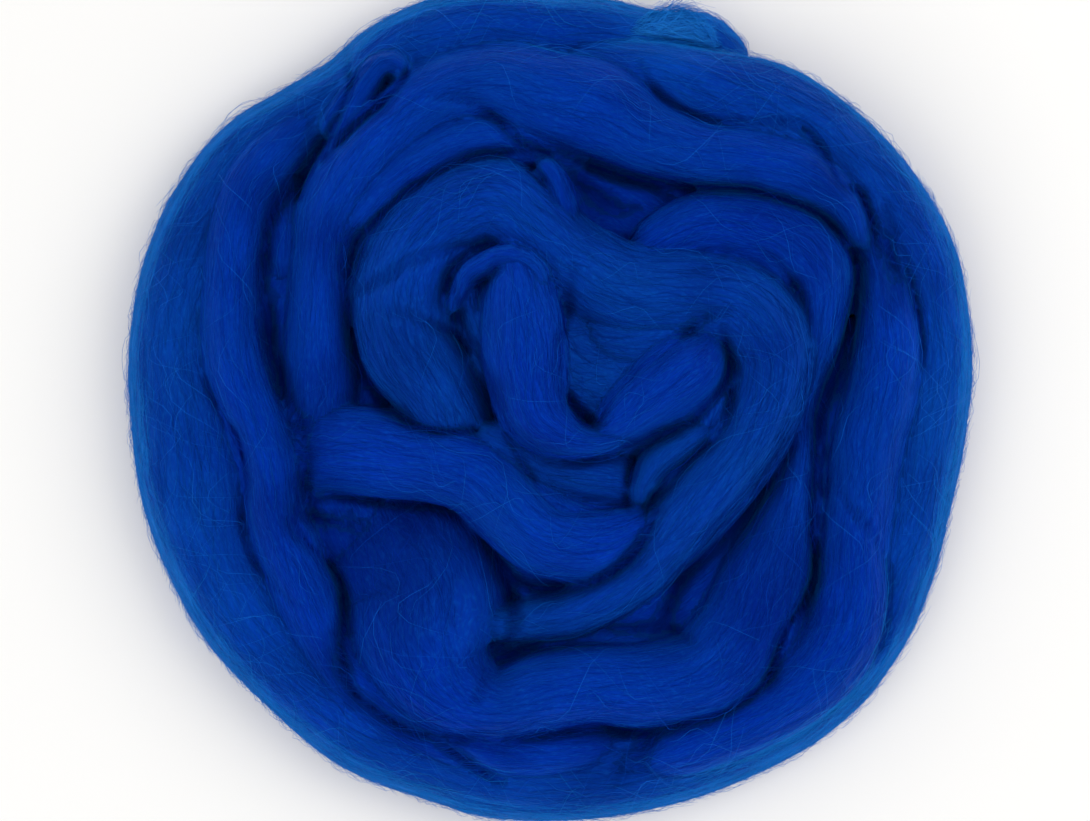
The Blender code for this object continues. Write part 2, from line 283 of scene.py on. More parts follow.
# %% The folds below the middle
LOWER_LOOP = [
    Row(25, 44, 8, 26, 9),
    Row(34, 49, 8, 32, 17),
    Row(46, 53, 6, 36, 21),
    Row(59, 52, 4, 38, 23),
    Row(72, 47, 2, 38, 25),
    Row(80, 37, 0, 36, 23),
    Row(80, 24, 0, 32, 18),
    Row(78, 9, FLAT, 25, 12),
    Row(77, -6, FLAT, 22, 12),
    Row(75, -21, FLAT, 26, 15),
    Row(71, -37, FLAT, 31, 21),
    Row(65, -53, FLAT, 34, 28),
    Row(58, -69, FLAT, 36, 31),
    Row(46, -81, FLAT, 38, 28),
    Row(30, -85, FLAT, 39, 26),
    Row(14, -85, FLAT, 39, 25),
    Row(-2, -87, FLAT, 39, 24),
    Row(-17, -91, FLAT, 38, 24),
    Row(-31, -84, FLAT, 37, 34),
    Row(-37, -71, FLAT, 36, 45),
    Row(-38, -57, FLAT, 31, 48),
    Row(-44, -44, FLAT, 25, 50),
    Row(-50, -32, FLAT, 19, 54),
    Row(-53, -22, FLAT, 15, 46),
]
MIDDLE_BAND = [
    Row(-92, -16, 0, 18, 16),
    Row(-81, -15, 0, 23, 22),
    Row(-70, -14, 4, 26, 24),
    Row(-58, -14, 8, 33, 26),
    Row(-45, -16, 8, 38, 25),
    Row(-33, -18, 8, 41, 24),
    Row(-22, -22, 8, 42, 25),
    Row(-12, -31, 8, 43, 25),
    Row(-2, -39, 8, 43, 25),
    Row(10, -42, 8, 42, 23),
    Row(21, -40, 8, 40, 19),
    Row(31, -34, 10, 34, 10),
]
POCKET_BOTTOM = [
    Row(37, -59, 0, 15, 16),
    Row(27, -70, 0, 16, 16),
    Row(9, -72, 0, 16, 14),
    Row(-3, -72, 0, 15, 14),
]

# %% [markdown]
# The last of the strand makes a heart-shaped loop on top of everything, and its tip is tucked over the
# middle as a tongue with a thin lip.

# %% The heart
HEART_LOOP = [
    Row(-26, -17, 2, 22, 16),
    Row(-29, -7, 4, 33, 25),
    Row(-35, 5, 6, 40, 27),
    Row(-42, 17, 8, 42, 30),
    Row(-45, 31, 8, 42, 29),
    Row(-41, 45, 8, 42, 28),
    Row(-30, 56, 8, 42, 27),
    Row(-17, 60, 8, 43, 27),
    Row(-5, 52, 8, 43, 26),
    Row(8, 41, 8, 42, 27),
    Row(24, 33, 8, 41, 29),
    Row(42, 32, 8, 42, 28),
    Row(57, 28, 8, 43, 28),
    Row(66, 17, 8, 44, 25),
    Row(66, 4, 8, 44, 23),
    Row(59, -11, 8, 44, 24),
    Row(48, -26, 8, 44, 23),
    Row(35, -41, 6, 43, 21),
    Row(21, -54, 4, 39, 18),
    Row(6, -63, 2, 34, 15),
    Row(-10, -66, 0, 30, 12),
    Row(-26, -68, 0, 24, 9),
]
HEART_FLOOR = [
    Row(0, 24, 6, 30, 16),
    Row(10, 20, 4, 35, 30),
    Row(24, 18, 4, 37, 34),
    Row(40, 20, 4, 38, 34),
    Row(56, 20, 4, 38, 26),
]
TONGUE_FLOOR = [
    Row(-18, 44, 0, 39, 20),
    Row(-14, 28, 0, 40, 34),
    Row(-2, 14, 0, 38, 44),
    Row(16, 6, 0, 37, 46),
    Row(34, 4, 0, 38, 42),
    Row(46, 2, 0, 37, 34),
    Row(40, -16, 0, 35, 26),
]
WEDGE = [
    Row(46, -8, 12, 37, 8),
    Row(38, -13, 12, 41, 12),
    Row(31, -20, 12, 43, 12),
    Row(27, -27, 14, 43, 8),
    Row(28, -32, 18, 41, 4),
]
UNDER_TONGUE = [
    Row(-22, -9, 4, 34, 10),
    Row(-14, -13, 4, 38, 14),
    Row(-6, -18, 4, 36, 15),
    Row(4, -21, 4, 34, 18),
    Row(18, -23, 4, 34, 19),
    Row(29, -26, 4, 32, 16),
]
TONGUE = [
    Row(-13, 46, 22, 44, 7),
    Row(-10, 40, 18, 50, 15),
    Row(-9, 30, 16, 52, 22),
    Row(-8, 18, 16, 52, 25),
    Row(-7, 6, 16, 51, 24),
    Row(-4, -4, 16, 50, 21),
    Row(4, -10, 16, 47, 15),
    Row(14, -12, 18, 45, 8),
    Row(23, -9, 18, 42, 9),
]
TONGUE_RIGHT = [
    Row(12, -9, 18, 42, 8),
    Row(19, -6, 16, 46, 15),
    Row(27, 0, 16, 47, 20),
    Row(36, 7, 16, 47, 23),
    Row(44, 13, 16, 46, 22),
    Row(50, 19, 18, 43, 14),
]
TONGUE_LIP = [
    Row(-29, 28, 22, 38, 3),
    Row(-27, 34, 22, 43, 5),
    Row(-24, 39, 22, 46, 6),
    Row(-19, 42, 24, 48, 7),
    Row(-13, 44, 26, 50, 7),
    Row(-6, 41, 26, 50, 7),
    Row(-2, 35, 26, 48, 5),
]
LOOSE_TUFT = [
    Row(13, 110, 8, 19, 5),
    Row(22, 111, 8, 20, 6),
    Row(31, 112, 6, 21, 9),
    Row(40, 112, 4, 19, 10),
    Row(46, 109, 0, 16, 9),
    Row(50, 106, 0, 12, 6),
]

# %% [markdown]
# Under all this lie the first turns, a plain flat spiral that only shows as the floor of the creases, so
# a formula is enough for it.

# %% The first turns
BASE_START = -8.0  # the radius at the start, below zero so that the strand begins across the middle
BASE_PITCH = 22.0
BASE_WIDTH = 27.0
BASE_TURNS = 5.0
BASE_TOP = 19.0
BASE_POINTS_A_TURN = 12


def base_turns():
    """The rows of the flat spiral under the nest."""
    rows = []
    for i in range(round(BASE_TURNS * BASE_POINTS_A_TURN) + 1):
        turns = i / BASE_POINTS_A_TURN
        radius = BASE_START + BASE_PITCH * turns
        rows.append(Row(radius * cos(tau * turns), radius * sin(tau * turns), FLAT, BASE_TOP, BASE_WIDTH))
    return rows


FOLDS = {
    "first_turns": [base_turns()],
    "outside_turn": [OUTER_RING],
    "side_turns": [SECOND_TURN_LEFT, SIDE_SLIP, SECOND_TURN_RIGHT],
    "upper_folds": [UPPER_BAND, SPLIT_LOBE, THIN_CURL, TOP_SLIP, POCKET_TOP],
    "lower_folds": [LOWER_LOOP, MIDDLE_BAND, POCKET_BOTTOM],
    "heart": [HEART_LOOP, HEART_FLOOR, TONGUE_FLOOR, WEDGE, UNDER_TONGUE],
    "tongue": [TONGUE, TONGUE_RIGHT, TONGUE_LIP],
    "loose_end": [LOOSE_TUFT],
}
print(sum(len(runs) for runs in FOLDS.values()), "runs in", len(FOLDS), "pieces")

# %% [markdown]
# ## A short way to write node trees
#
# The strand and its fibres both follow a path, which is what Geometry Nodes are good at. Written out
# node by node a tree takes hundreds of lines, so a small helper adds a node, fills its inputs with
# values or wires in one call, and gives back its output.


# %% The helper
def triangles(piece):
    """How many triangles this piece has."""
    return sum(len(face.vertices) - 2 for face in piece.data.polygons)


class Tree:
    """A node tree and short ways to add to it. An input takes a plain value or another node's output."""

    def __init__(self, name, kind="GeometryNodeTree"):
        self.tree = bpy.data.node_groups.new(name, kind)
        self.start = self.tree.nodes.new("NodeGroupInput")
        self.end = self.tree.nodes.new("NodeGroupOutput")

    def takes(self, name, kind, value=None):
        """A named input of the tree, and its output inside it."""
        made = self.tree.interface.new_socket(name, in_out="INPUT", socket_type="NodeSocket" + kind)
        if value is not None:
            made.default_value = value
        return self.start.outputs[name]

    def gives(self, name, kind, value):
        """A named output of the tree, with what it gives out."""
        self.tree.interface.new_socket(name, in_out="OUTPUT", socket_type="NodeSocket" + kind)
        self.feed(self.end.inputs[name], value)

    def feed(self, socket, value):
        """Wires an output to this input, or sets the plain value on it."""
        if isinstance(value, bpy.types.NodeSocket):
            self.tree.links.new(value, socket)
        else:
            socket.default_value = value

    def add(self, kind, inputs=(), **settings):
        """A new node with these inputs and settings."""
        node = self.tree.nodes.new(kind)
        for name, value in settings.items():
            setattr(node, name, value)
        for name, value in dict(inputs).items():
            self.feed(node.inputs[name], value)
        return node

    def maths(self, operation, *values):
        return self.add("ShaderNodeMath", enumerate(values), operation=operation).outputs[0]

    def vector(self, operation, *values):
        return self.add("ShaderNodeVectorMath", enumerate(values), operation=operation).outputs["Vector"]

    def times(self, vector, number):
        return self.add("ShaderNodeVectorMath", {0: vector, "Scale": number}, operation="SCALE").outputs[0]

    def xyz(self, x=0.0, y=0.0, z=0.0):
        return self.add("ShaderNodeCombineXYZ", {0: x, 1: y, 2: z}).outputs[0]

    def parts(self, vector):
        return self.add("ShaderNodeSeparateXYZ", {0: vector}).outputs

    def stored(self, name, kind="FLOAT"):
        return self.add("GeometryNodeInputNamedAttribute", {"Name": name}, data_type=kind).outputs[0]

    def keep(self, geometry, **values):
        """Captures these values on the geometry. Returns it, and what was captured."""
        node = self.add("GeometryNodeCaptureAttribute", {0: geometry}, domain="POINT")
        for name, value in values.items():
            vector = isinstance(value, bpy.types.NodeSocket) and value.type == "VECTOR"
            node.capture_items.new("VECTOR" if vector else "FLOAT", name)
            self.feed(node.inputs[name], value)
        return node.outputs[0], {name: node.outputs[name] for name in values}

    def noise(self, vector, scale=1.0, detail=2.0):
        """Noise from -1 to 1 and mostly between -0.5 and 0.5."""
        node = self.add("ShaderNodeTexNoise", {"Vector": vector, "Scale": scale, "Detail": detail})
        return self.maths("MULTIPLY_ADD", node.outputs[0], 2.0, -1.0)


def grow(obj, tree, values):
    """Runs a tree on an object, and leaves the object with the plain mesh that it makes."""
    modifier = obj.modifiers.new(tree.tree.name, "NODES")
    modifier.node_group = tree.tree
    for item in tree.tree.interface.items_tree:
        if item.in_out == "INPUT" and item.name in values:
            modifier[item.identifier] = values[item.name]
    bpy.context.view_layer.update()
    grown = bpy.data.meshes.new_from_object(
        obj.evaluated_get(bpy.context.evaluated_depsgraph_get()),
        preserve_all_data_layers=True,
        depsgraph=bpy.context.evaluated_depsgraph_get(),
    )
    obj.modifiers.clear()
    grown.name = obj.name
    obj.data = grown
    return obj


# %% [markdown]
# ## Laying the strand
#
# Each run starts as bare points joined by edges, one for each row, with the half width and half height
# of the strand stored on them. The tree makes a smooth curve of them and sweeps a section along it. The
# sweep only gives the faces: every point is then set on a boxy oval around the curve, because the
# strand is wider than it is tall and must stay level, and a sweep alone would roll it in the bends. Low
# ridges run along it, where locks of fibres lie together, and wander a little, as combed wool does.

# %% Points along the runs
HOUSE = 0.1  # each run has its own strip of the UV map, this wide
GIRTH_ON_MAP = 0.8 * HOUSE  # how much of the strip one turn round the strand takes up


def line_object(name, lines, middle_of, measures):
    """Lines of joined points. Each row of a line gives a point, and measures that are stored on it."""
    points, edges = [], []
    stored = {kind: [] for kind in measures}
    for number, line in enumerate(lines):
        first = len(points)
        for row in line:
            points.append(place(*middle_of(row)))
            for kind, measure in measures.items():
                stored[kind].append(float(measure(row, number)))
        edges += [(i, i + 1) for i in range(first, len(points) - 1)]
    mesh = bpy.data.meshes.new(name)
    mesh.from_pydata(points, edges, [])
    for kind, values in stored.items():
        mesh.attributes.new(kind, "FLOAT", "POINT").data.foreach_set("value", values)
    obj = bpy.data.objects.new(name, mesh)
    bpy.context.scene.collection.objects.link(obj)
    return obj


def path_object(name, runs):
    """The middle line of each run, with half its width and half its height."""
    return line_object(
        name, runs, lambda row: (row.x, row.y, (row.low + row.top) / 2),
        {
            "half_wide": lambda row, number: row.wide / 2 * MM,
            "half_high": lambda row, number: (row.top - row.low) / 2 * MM,
            "house": lambda row, number: number,
        },
    )


# %% The tree that lays a strand
RUN_SHIFT = 1.7  # metres along the noise from one run to the next, so that no two have the same ridges


def laying_tree():
    """A smooth centre line with an oval section, rounded ends, ridges, lumps and a flat underside."""
    t = Tree("lay_strand")
    rows = t.takes("Geometry", "Geometry")
    step = t.takes("Step", "Float", 0.0016)
    sides = t.takes("Sides", "Int", 64)
    squareness = t.takes("Squareness", "Float", 2.15)
    bluntness = t.takes("Tip Bluntness", "Float", 0.6)
    ridge_high = t.takes("Ridge Height", "Float", 0.0004)
    ridge_wide = t.takes("Ridge Width", "Float", 0.004)
    ridge_long = t.takes("Ridge Length", "Float", 0.05)
    lump_high = t.takes("Lump Height", "Float", 0.0009)
    lump_wide = t.takes("Lump Width", "Float", 0.018)
    wander = t.takes("Wander", "Float", 0.35)
    veil = t.takes("Veil", "Float", 0.2)
    wool = t.takes("Wool", "Material")

    line = t.add("GeometryNodeMeshToCurve", {0: rows}).outputs[0]
    line = t.add("GeometryNodeCurveSplineType", {0: line}, spline_type="CATMULL_ROM").outputs[0]
    line = t.add("GeometryNodeResampleCurve", {0: line, "Length": step}, mode="LENGTH").outputs[0]
    ahead = t.add("GeometryNodeInputTangent").outputs[0]
    side = t.vector("NORMALIZE", t.vector("CROSS_PRODUCT", ahead, (0, 0, 1)))
    spline = t.add("GeometryNodeSplineParameter")
    length = t.add("GeometryNodeSplineLength").outputs["Length"]
    along = spline.outputs["Length"]
    to_tip = t.maths("MINIMUM", along, t.maths("SUBTRACT", length, along))
    reach = t.maths("MULTIPLY", t.stored("half_wide"), t.maths("MULTIPLY", bluntness, 2.0))
    near = t.maths("SUBTRACT", 1.0, t.maths("MINIMUM", t.maths("DIVIDE", to_tip, reach), 1.0))
    share = t.maths("SQRT", t.maths("MAXIMUM", t.maths("SUBTRACT", 1.0, t.maths("POWER", near, 2.0)), 0.0))
    line, kept = t.keep(
        line,
        centre=t.add("GeometryNodeInputPosition").outputs[0],
        side=side,
        up=t.vector("CROSS_PRODUCT", side, ahead),
        along=along,
        length=length,
        share=share,
    )
    section = t.add("GeometryNodeCurvePrimitiveLine").outputs[0]
    count = t.maths("ADD", sides, 1.0)
    section = t.add("GeometryNodeResampleCurve", {0: section, "Count": count}).outputs[0]
    section, ring = t.keep(section, around=t.add("GeometryNodeSplineParameter").outputs["Factor"])
    skin = t.add("GeometryNodeCurveToMesh", {"Curve": line, "Profile Curve": section}).outputs[0]
    skin = t.add("GeometryNodeFlipFaces", {0: skin}).outputs[0]

    # The angle starts underneath, where the seam is out of sight.
    angle = t.maths("MULTIPLY_ADD", ring["around"], tau, -tau / 4)

    def boxy(value):
        power = t.maths("POWER", t.maths("ABSOLUTE", value), t.maths("DIVIDE", 2.0, squareness))
        return t.maths("MULTIPLY", t.maths("SIGN", value), power)

    wide, high = t.stored("half_wide"), t.stored("half_high")
    across, above = t.maths("COSINE", angle), t.maths("SINE", angle)
    out_side = t.maths("MULTIPLY", boxy(across), t.maths("MULTIPLY", wide, kept["share"]))
    out_up = t.maths("MULTIPLY", boxy(above), t.maths("MULTIPLY", high, kept["share"]))
    oval = t.vector("ADD", t.times(kept["side"], out_side), t.times(kept["up"], out_up))

    outward = t.vector(
        "NORMALIZE",
        t.vector("ADD", t.times(kept["side"], t.maths("MULTIPLY", across, high)),
                 t.times(kept["up"], t.maths("MULTIPLY", above, wide))),
    )
    girth = t.maths("MULTIPLY", t.maths("ADD", wide, high), 0.5)
    far = t.maths("MULTIPLY_ADD", t.stored("house"), RUN_SHIFT, kept["along"])
    slow = t.xyz(t.maths("DIVIDE", far, t.maths("MULTIPLY", ridge_long, 0.8)), across, above)
    turned = t.maths("MULTIPLY_ADD", t.noise(slow, 1.0, 1.0), wander, angle)
    ridge_at = t.xyz(
        t.maths("DIVIDE", far, ridge_long),
        t.maths("MULTIPLY", t.maths("COSINE", turned), t.maths("DIVIDE", girth, ridge_wide)),
        t.maths("MULTIPLY", t.maths("SINE", turned), t.maths("DIVIDE", girth, ridge_wide)),
    )
    ridge = t.maths("MULTIPLY", t.noise(ridge_at, 1.0, 2.0), ridge_high)
    lump_at = t.xyz(
        t.maths("DIVIDE", far, t.maths("MULTIPLY", lump_wide, 1.6)),
        t.maths("MULTIPLY", across, t.maths("DIVIDE", girth, lump_wide)),
        t.maths("MULTIPLY", above, t.maths("DIVIDE", girth, lump_wide)),
    )
    lump = t.maths("MULTIPLY", t.noise(lump_at, 1.0, 1.0), lump_high)
    swell = t.maths("MULTIPLY", t.maths("ADD", ridge, lump), kept["share"])
    at = t.vector("ADD", kept["centre"], t.vector("ADD", oval, t.times(outward, swell)))
    spot = t.parts(at)
    at = t.xyz(spot[0], spot[1], t.maths("MAXIMUM", spot[2], 0.0))
    skin = t.add("GeometryNodeSetPosition", {0: skin, "Position": at}).outputs[0]

    strip = t.maths("MULTIPLY", t.stored("house"), HOUSE)
    uv = t.xyz(kept["along"], t.maths("MULTIPLY_ADD", ring["around"], GIRTH_ON_MAP, strip))
    skin = t.add("GeometryNodeStoreNamedAttribute", {0: skin, "Name": "Strand", "Value": uv},
                 data_type="FLOAT2", domain="CORNER").outputs[0]
    skin = t.add("GeometryNodeStoreNamedAttribute", {0: skin, "Name": "run_length", "Value": kept["length"]},
                 data_type="FLOAT", domain="POINT").outputs[0]
    skin = t.add("GeometryNodeStoreNamedAttribute", {0: skin, "Name": "veil", "Value": veil},
                 data_type="FLOAT", domain="POINT").outputs[0]
    skin = t.add("GeometryNodeMergeByDistance", {0: skin, "Distance": 0.00001}).outputs[0]
    skin = t.add("GeometryNodeSetShadeSmooth", {0: skin}).outputs[0]
    skin = t.add("GeometryNodeRealizeInstances", {0: skin}).outputs[0]
    skin = t.add("GeometryNodeSetMaterial", {0: skin, "Material": wool}).outputs[0]
    t.gives("Geometry", "Geometry", skin)
    return t


lay_strand = laying_tree()
print(len(lay_strand.tree.nodes), "nodes lay a strand")

# %% [markdown]
# ## The look of combed wool
#
# Close to, the strand is thousands of fibres side by side, each catching the light a little differently.
# From a step away that is fine streaks along the strand, in two sizes, and broad paler and deeper
# patches where the dye took unevenly. One shader group draws them from the strand's own UV map, in which
# x runs along the strand in metres and y goes round it, and gives out a colour, a roughness and a height.
# The group also paints shade into the colour where the skin lies less open, and paints light round the rim.


# %% The combed wool group
FINE_SHARE, LOCK_SHARE, PATCH_SHARE, DYE_AND_SHADE_SHARE = 0.85, 0.4, 0.6, 0.45  # how far each shifts the two blues
RIM_LIGHT_CONTRAST, RIM_LIGHT_BASE = 2.4, 0.62  # the painted rim light comes in wisps
PAINTED_SHADE_SHARE, PAINTED_LIGHT_SHARE = 0.30, 0.10  # how much painted shade or painted light one step of the dye and painted shade patches adds


def combed_wool_group():
    """The colour, roughness and height of combed wool, from the map of the strand and a few masks, with
    painted shade in creases and painted rim light.
    """
    t = Tree("combed_wool", "ShaderNodeTree")
    strand = t.takes("Strand", "Vector")
    place_on = t.takes("Place", "Vector")
    deep = t.takes("Deep", "Color", (0.001, 0.02, 0.2, 1))
    bright = t.takes("Bright", "Color", (0.003, 0.05, 0.36, 1))
    fine_wide = t.takes("Fibre Width", "Float", 0.0004)
    fine_long = t.takes("Fibre Length", "Float", 0.0035)
    lock_wide = t.takes("Lock Width", "Float", 0.0022)
    lock_long = t.takes("Lock Length", "Float", 0.026)
    patch = t.takes("Patch Size", "Float", 0.030)
    waviness = t.takes("Waviness", "Float", 0.0016)
    fuzz_wide = t.takes("Fuzz Width", "Float", 0.0007)
    fuzz_long = t.takes("Fuzz Length", "Float", 0.0018)
    fuzzy = t.takes("Fuzz", "Float", 0.36)
    azure = t.takes("Azure", "Color", (0.002, 0.07, 0.35, 1))
    haze_and_painted_light = t.takes("Haze", "Color", (0.004, 0.13, 0.6, 1))
    rim = t.takes("Rim", "Float", 0.0)
    veiled = t.takes("Veil", "Float", 0.2)
    dye = t.takes("Dye", "Float", 0.0)
    openness = t.takes("Open", "Float", 1.0)
    crease_painted_shade = t.takes("Crease Depth", "Float", 0.85)
    shadow = t.takes("Shadow", "Color", (0.0001, 0.003, 0.100, 1))
    spot = t.parts(strand)
    crimp = t.noise(t.times(place_on, 110.0), 1.0, 2.0)
    across = t.maths("MULTIPLY_ADD", crimp, waviness, spot[1])

    def streaks(wide, long, detail):
        at = t.xyz(t.maths("DIVIDE", spot[0], long), t.maths("DIVIDE", across, wide), 0.0)
        return t.noise(at, 1.0, detail)

    fine = streaks(fine_wide, fine_long, 3.0)
    locks = streaks(lock_wide, lock_long, 2.0)
    patches = t.noise(t.times(place_on, t.maths("DIVIDE", 1.0, patch)), 1.0, 2.0)
    mix = t.maths("MULTIPLY_ADD", fine, FINE_SHARE, 0.5)
    mix = t.maths("MULTIPLY_ADD", locks, LOCK_SHARE, mix)
    mix = t.maths("MULTIPLY_ADD", patches, PATCH_SHARE, mix)
    mix = t.maths("MULTIPLY_ADD", dye, DYE_AND_SHADE_SHARE, mix)

    def blend(share, first, second):
        """From the first colour at none to the second at one, and never past either."""
        node = t.add("ShaderNodeMix", data_type="RGBA")
        t.feed(node.inputs[0], share)
        t.feed(node.inputs[6], first)
        t.feed(node.inputs[7], second)
        return node.outputs[2]

    # The offset keeps the veils from lying where the patches lie.
    veils = t.noise(t.vector("ADD", t.times(place_on, t.maths("DIVIDE", 0.7, patch)), (7, 3, 5)), 1.0, 3.0)
    colour = blend(mix, deep, bright)
    veil = t.maths("MULTIPLY_ADD", veils, 1.0, t.maths("MULTIPLY_ADD", veiled, 0.9, 0.05))
    colour = blend(veil, colour, azure)
    fuzz = t.maths("MULTIPLY_ADD", streaks(fuzz_wide, fuzz_long, 3.0), fuzzy, 0.01)
    colour = blend(fuzz, colour, haze_and_painted_light)
    # Painted rim light: the haze colour is laid over the rim in streaks.
    rim_light_wisps = streaks(t.maths("MULTIPLY", lock_wide, 1.3), lock_long, 3.0)
    rim_light_wisps = t.maths("MULTIPLY_ADD", rim_light_wisps, RIM_LIGHT_CONTRAST, RIM_LIGHT_BASE)
    colour = blend(t.maths("MULTIPLY", rim, rim_light_wisps), colour, haze_and_painted_light)
    # Below zero the dye and painted shade patches add a painted shade, and above zero a painted light.
    colour = blend(t.maths("MULTIPLY", dye, -PAINTED_SHADE_SHARE), colour, shadow)
    colour = blend(t.maths("MULTIPLY", dye, PAINTED_LIGHT_SHARE), colour, haze_and_painted_light)
    # Painted shade: the colour goes towards the shadow colour where the skin lies less open, down in creases
    # and under other folds.
    shut = t.add("ShaderNodeMapRange", {"Value": openness, "From Min": 0.30, "From Max": 0.82,
                                        "To Min": 1.0, "To Max": 0.0}, interpolation_type="SMOOTHSTEP")
    shaded = blend(t.maths("MULTIPLY", shut.outputs[0], crease_painted_shade), colour, shadow)
    t.gives("Color", "Color", shaded)
    t.gives("Roughness", "Float", t.maths("MULTIPLY_ADD", fine, 0.2, 0.62))
    t.gives("Height", "Float", t.maths("MULTIPLY_ADD", locks, 1.4, fine))
    return t.tree


combed_wool = combed_wool_group()


# %% Royal blue wool
DYE_SHINE = (0.0, 0.30, 1.0, 1)  # light that has passed through dyed fibres before it comes back


def wool(name, deep, bright, azure, haze_and_painted_light):
    """Combed wool between two blues, azure where loose fibres veil it, with painted light round the rim,
    unevenly dyed with painted shade and light in the same patches, and with painted shade in the creases.
    """
    material = bpy.data.materials.new(name)
    material.use_nodes = True
    nodes, links = material.node_tree.nodes, material.node_tree.links
    shader = nodes["Principled BSDF"]
    strand = nodes.new("ShaderNodeUVMap")
    strand.uv_map = "Strand"
    where = nodes.new("ShaderNodeTexCoord")
    look = nodes.new("ShaderNodeGroup")
    look.node_tree = combed_wool
    look.inputs["Deep"].default_value = (*deep, 1)
    look.inputs["Bright"].default_value = (*bright, 1)
    look.inputs["Azure"].default_value = (*azure, 1)
    look.inputs["Haze"].default_value = (*haze_and_painted_light, 1)
    for attribute, socket in (("open", "Open"), ("rim", "Rim"), ("veil", "Veil"), ("dye", "Dye")):
        mask = nodes.new("ShaderNodeAttribute")
        mask.attribute_name = attribute
        links.new(mask.outputs["Fac"], look.inputs[socket])
    bump = nodes.new("ShaderNodeBump")
    bump.inputs["Strength"].default_value = 0.7
    bump.inputs["Distance"].default_value = 0.0003
    links.new(strand.outputs["UV"], look.inputs["Strand"])
    links.new(where.outputs["Object"], look.inputs["Place"])
    links.new(look.outputs["Color"], shader.inputs["Base Color"])
    links.new(look.outputs["Roughness"], shader.inputs["Roughness"])
    links.new(look.outputs["Height"], bump.inputs["Height"])
    links.new(bump.outputs["Normal"], shader.inputs["Normal"])
    shader.inputs["Specular IOR Level"].default_value = 0.2
    shader.inputs["Specular Tint"].default_value = DYE_SHINE
    shader.inputs["Sheen Weight"].default_value = 0.25
    shader.inputs["Sheen Roughness"].default_value = 0.45
    shader.inputs["Sheen Tint"].default_value = DYE_SHINE
    return material


WOOL = wool(
    "royal_wool",
    deep=(0.0002, 0.014, 0.250),
    bright=(0.0005, 0.031, 0.410),
    azure=(0.0010, 0.035, 0.275),
    haze_and_painted_light=(0.0040, 0.150, 0.600),
)

# %% [markdown]
# ## Uneven dye, with painted shade and light
#
# A dye bath never reaches every lock of wool alike. Some places drink more and come out deeper, and others
# stay paler. The patches are listed, each with a middle, a reach and a tone, and they fade out
# softly over that reach.
# The same patches also paint shade, where a fold lies low in the shade of its neighbour, and paint light on
# the right of the rim and on the loose tuft.

# %% Where the dye took more, and where less, and where shade and light are painted
Patch = namedtuple("Patch", "x y wide tone")  # tone below zero is deeper
# Below zero a patch is partly deeper dye and partly painted shade; the pale ones round the right of the rim
# and on the tuft are painted light.
DYE_AND_PAINTED_SHADE = [
    Patch(-45, -51, 26, -1.6), Patch(-40, -37, 14, -1.2), Patch(-61, -31, 10, -1.0),
    Patch(39, 88, 9, 0.6), Patch(-26, -42, 12, -0.9), Patch(-61, -44, 16, -0.8), Patch(-46, -70, 16, -0.8),
    Patch(-84, -32, 17, -1.0), Patch(-66, -79, 16, -1.1), Patch(-21, -80, 14, -0.8),
    Patch(70, -45, 18, -0.8), Patch(66, -62, 26, -1.4), Patch(61, -83, 16, -0.9),
    Patch(84, -47, 13, -0.6), Patch(84, 67, 15, -1.2), Patch(105, 37, 20, -1.2),
    Patch(102, 53, 16, -0.9), Patch(60, 58, 16, -0.8), Patch(72, 48, 14, -0.8), Patch(80, 39, 12, -0.8),
    Patch(9, 55, 14, -0.9), Patch(-27, 70, 14, -0.7), Patch(66, 19, 17, -0.9), Patch(45, 34, 12, -0.8),
    Patch(12, 19, 14, -0.8), Patch(45, 16, 12, -0.7), Patch(-87, 61, 15, -1.1),
    Patch(-105, 49, 15, -0.8), Patch(-89, 35, 12, -0.8), Patch(-78, 82, 12, -0.8),
    Patch(-69, 6, 15, -1.0), Patch(-72, -11, 17, -0.8), Patch(-45, 18, 22, -0.9),
    Patch(-43, -2, 14, -0.6), Patch(-9, -11, 12, -0.9), Patch(-1, -16, 12, -0.9),
    Patch(-15, 2, 10, -0.7), Patch(15, -110, 19, -1.1), Patch(-45, -98, 16, -0.8),
    Patch(-15, -101, 14, -0.7), Patch(36, -71, 12, -0.8), Patch(-66, 50, 14, -1.1),
    Patch(5, -50, 12, -0.6), Patch(24, 93, 14, -0.6), Patch(-100, -64, 24, 0.8),
    Patch(-112, -36, 20, 0.6), Patch(-114, 20, 16, 0.4), Patch(121, 16, 22, 1.2),
    Patch(121, -8, 20, 1.0), Patch(113, -45, 18, 0.8), Patch(118, 45, 14, 0.6), Patch(36, 113, 22, 3.0),
    Patch(-60, -105, 16, 0.6),
]


RAGGED_MM = 4.0  # how far the edge of a patch wanders, over about a centimetre
RAGGED_SCALE = 90.0


def dye_and_painted_shade_at(t, here):
    """The sum of the patches at this place, with a ragged edge."""
    ragged = t.maths("MULTIPLY", t.noise(t.times(here, RAGGED_SCALE), 1.0, 2.0), RAGGED_MM * MM)
    flat = t.vector("MULTIPLY", here, (1, 1, 0))
    dye = 0.0
    for patch in DYE_AND_PAINTED_SHADE:
        away = t.add("ShaderNodeVectorMath", {0: flat, 1: place(patch.x, patch.y, 0)}, operation="DISTANCE")
        away = t.maths("ADD", away.outputs["Value"], ragged)
        tone = t.add("ShaderNodeMapRange", {
            "Value": away, "From Max": patch.wide * MM, "To Min": patch.tone, "To Max": 0.0,
        }, interpolation_type="SMOOTHSTEP")
        dye = t.maths("ADD", tone.outputs[0], dye)
    return dye


print(len(DYE_AND_PAINTED_SHADE), "patches of dye")

# %% [markdown]
# Now the strand is laid, piece by piece. The outside turn, the heart and the loose end have been handled
# the most, so more loose fibres veil them, and their blue is milder.

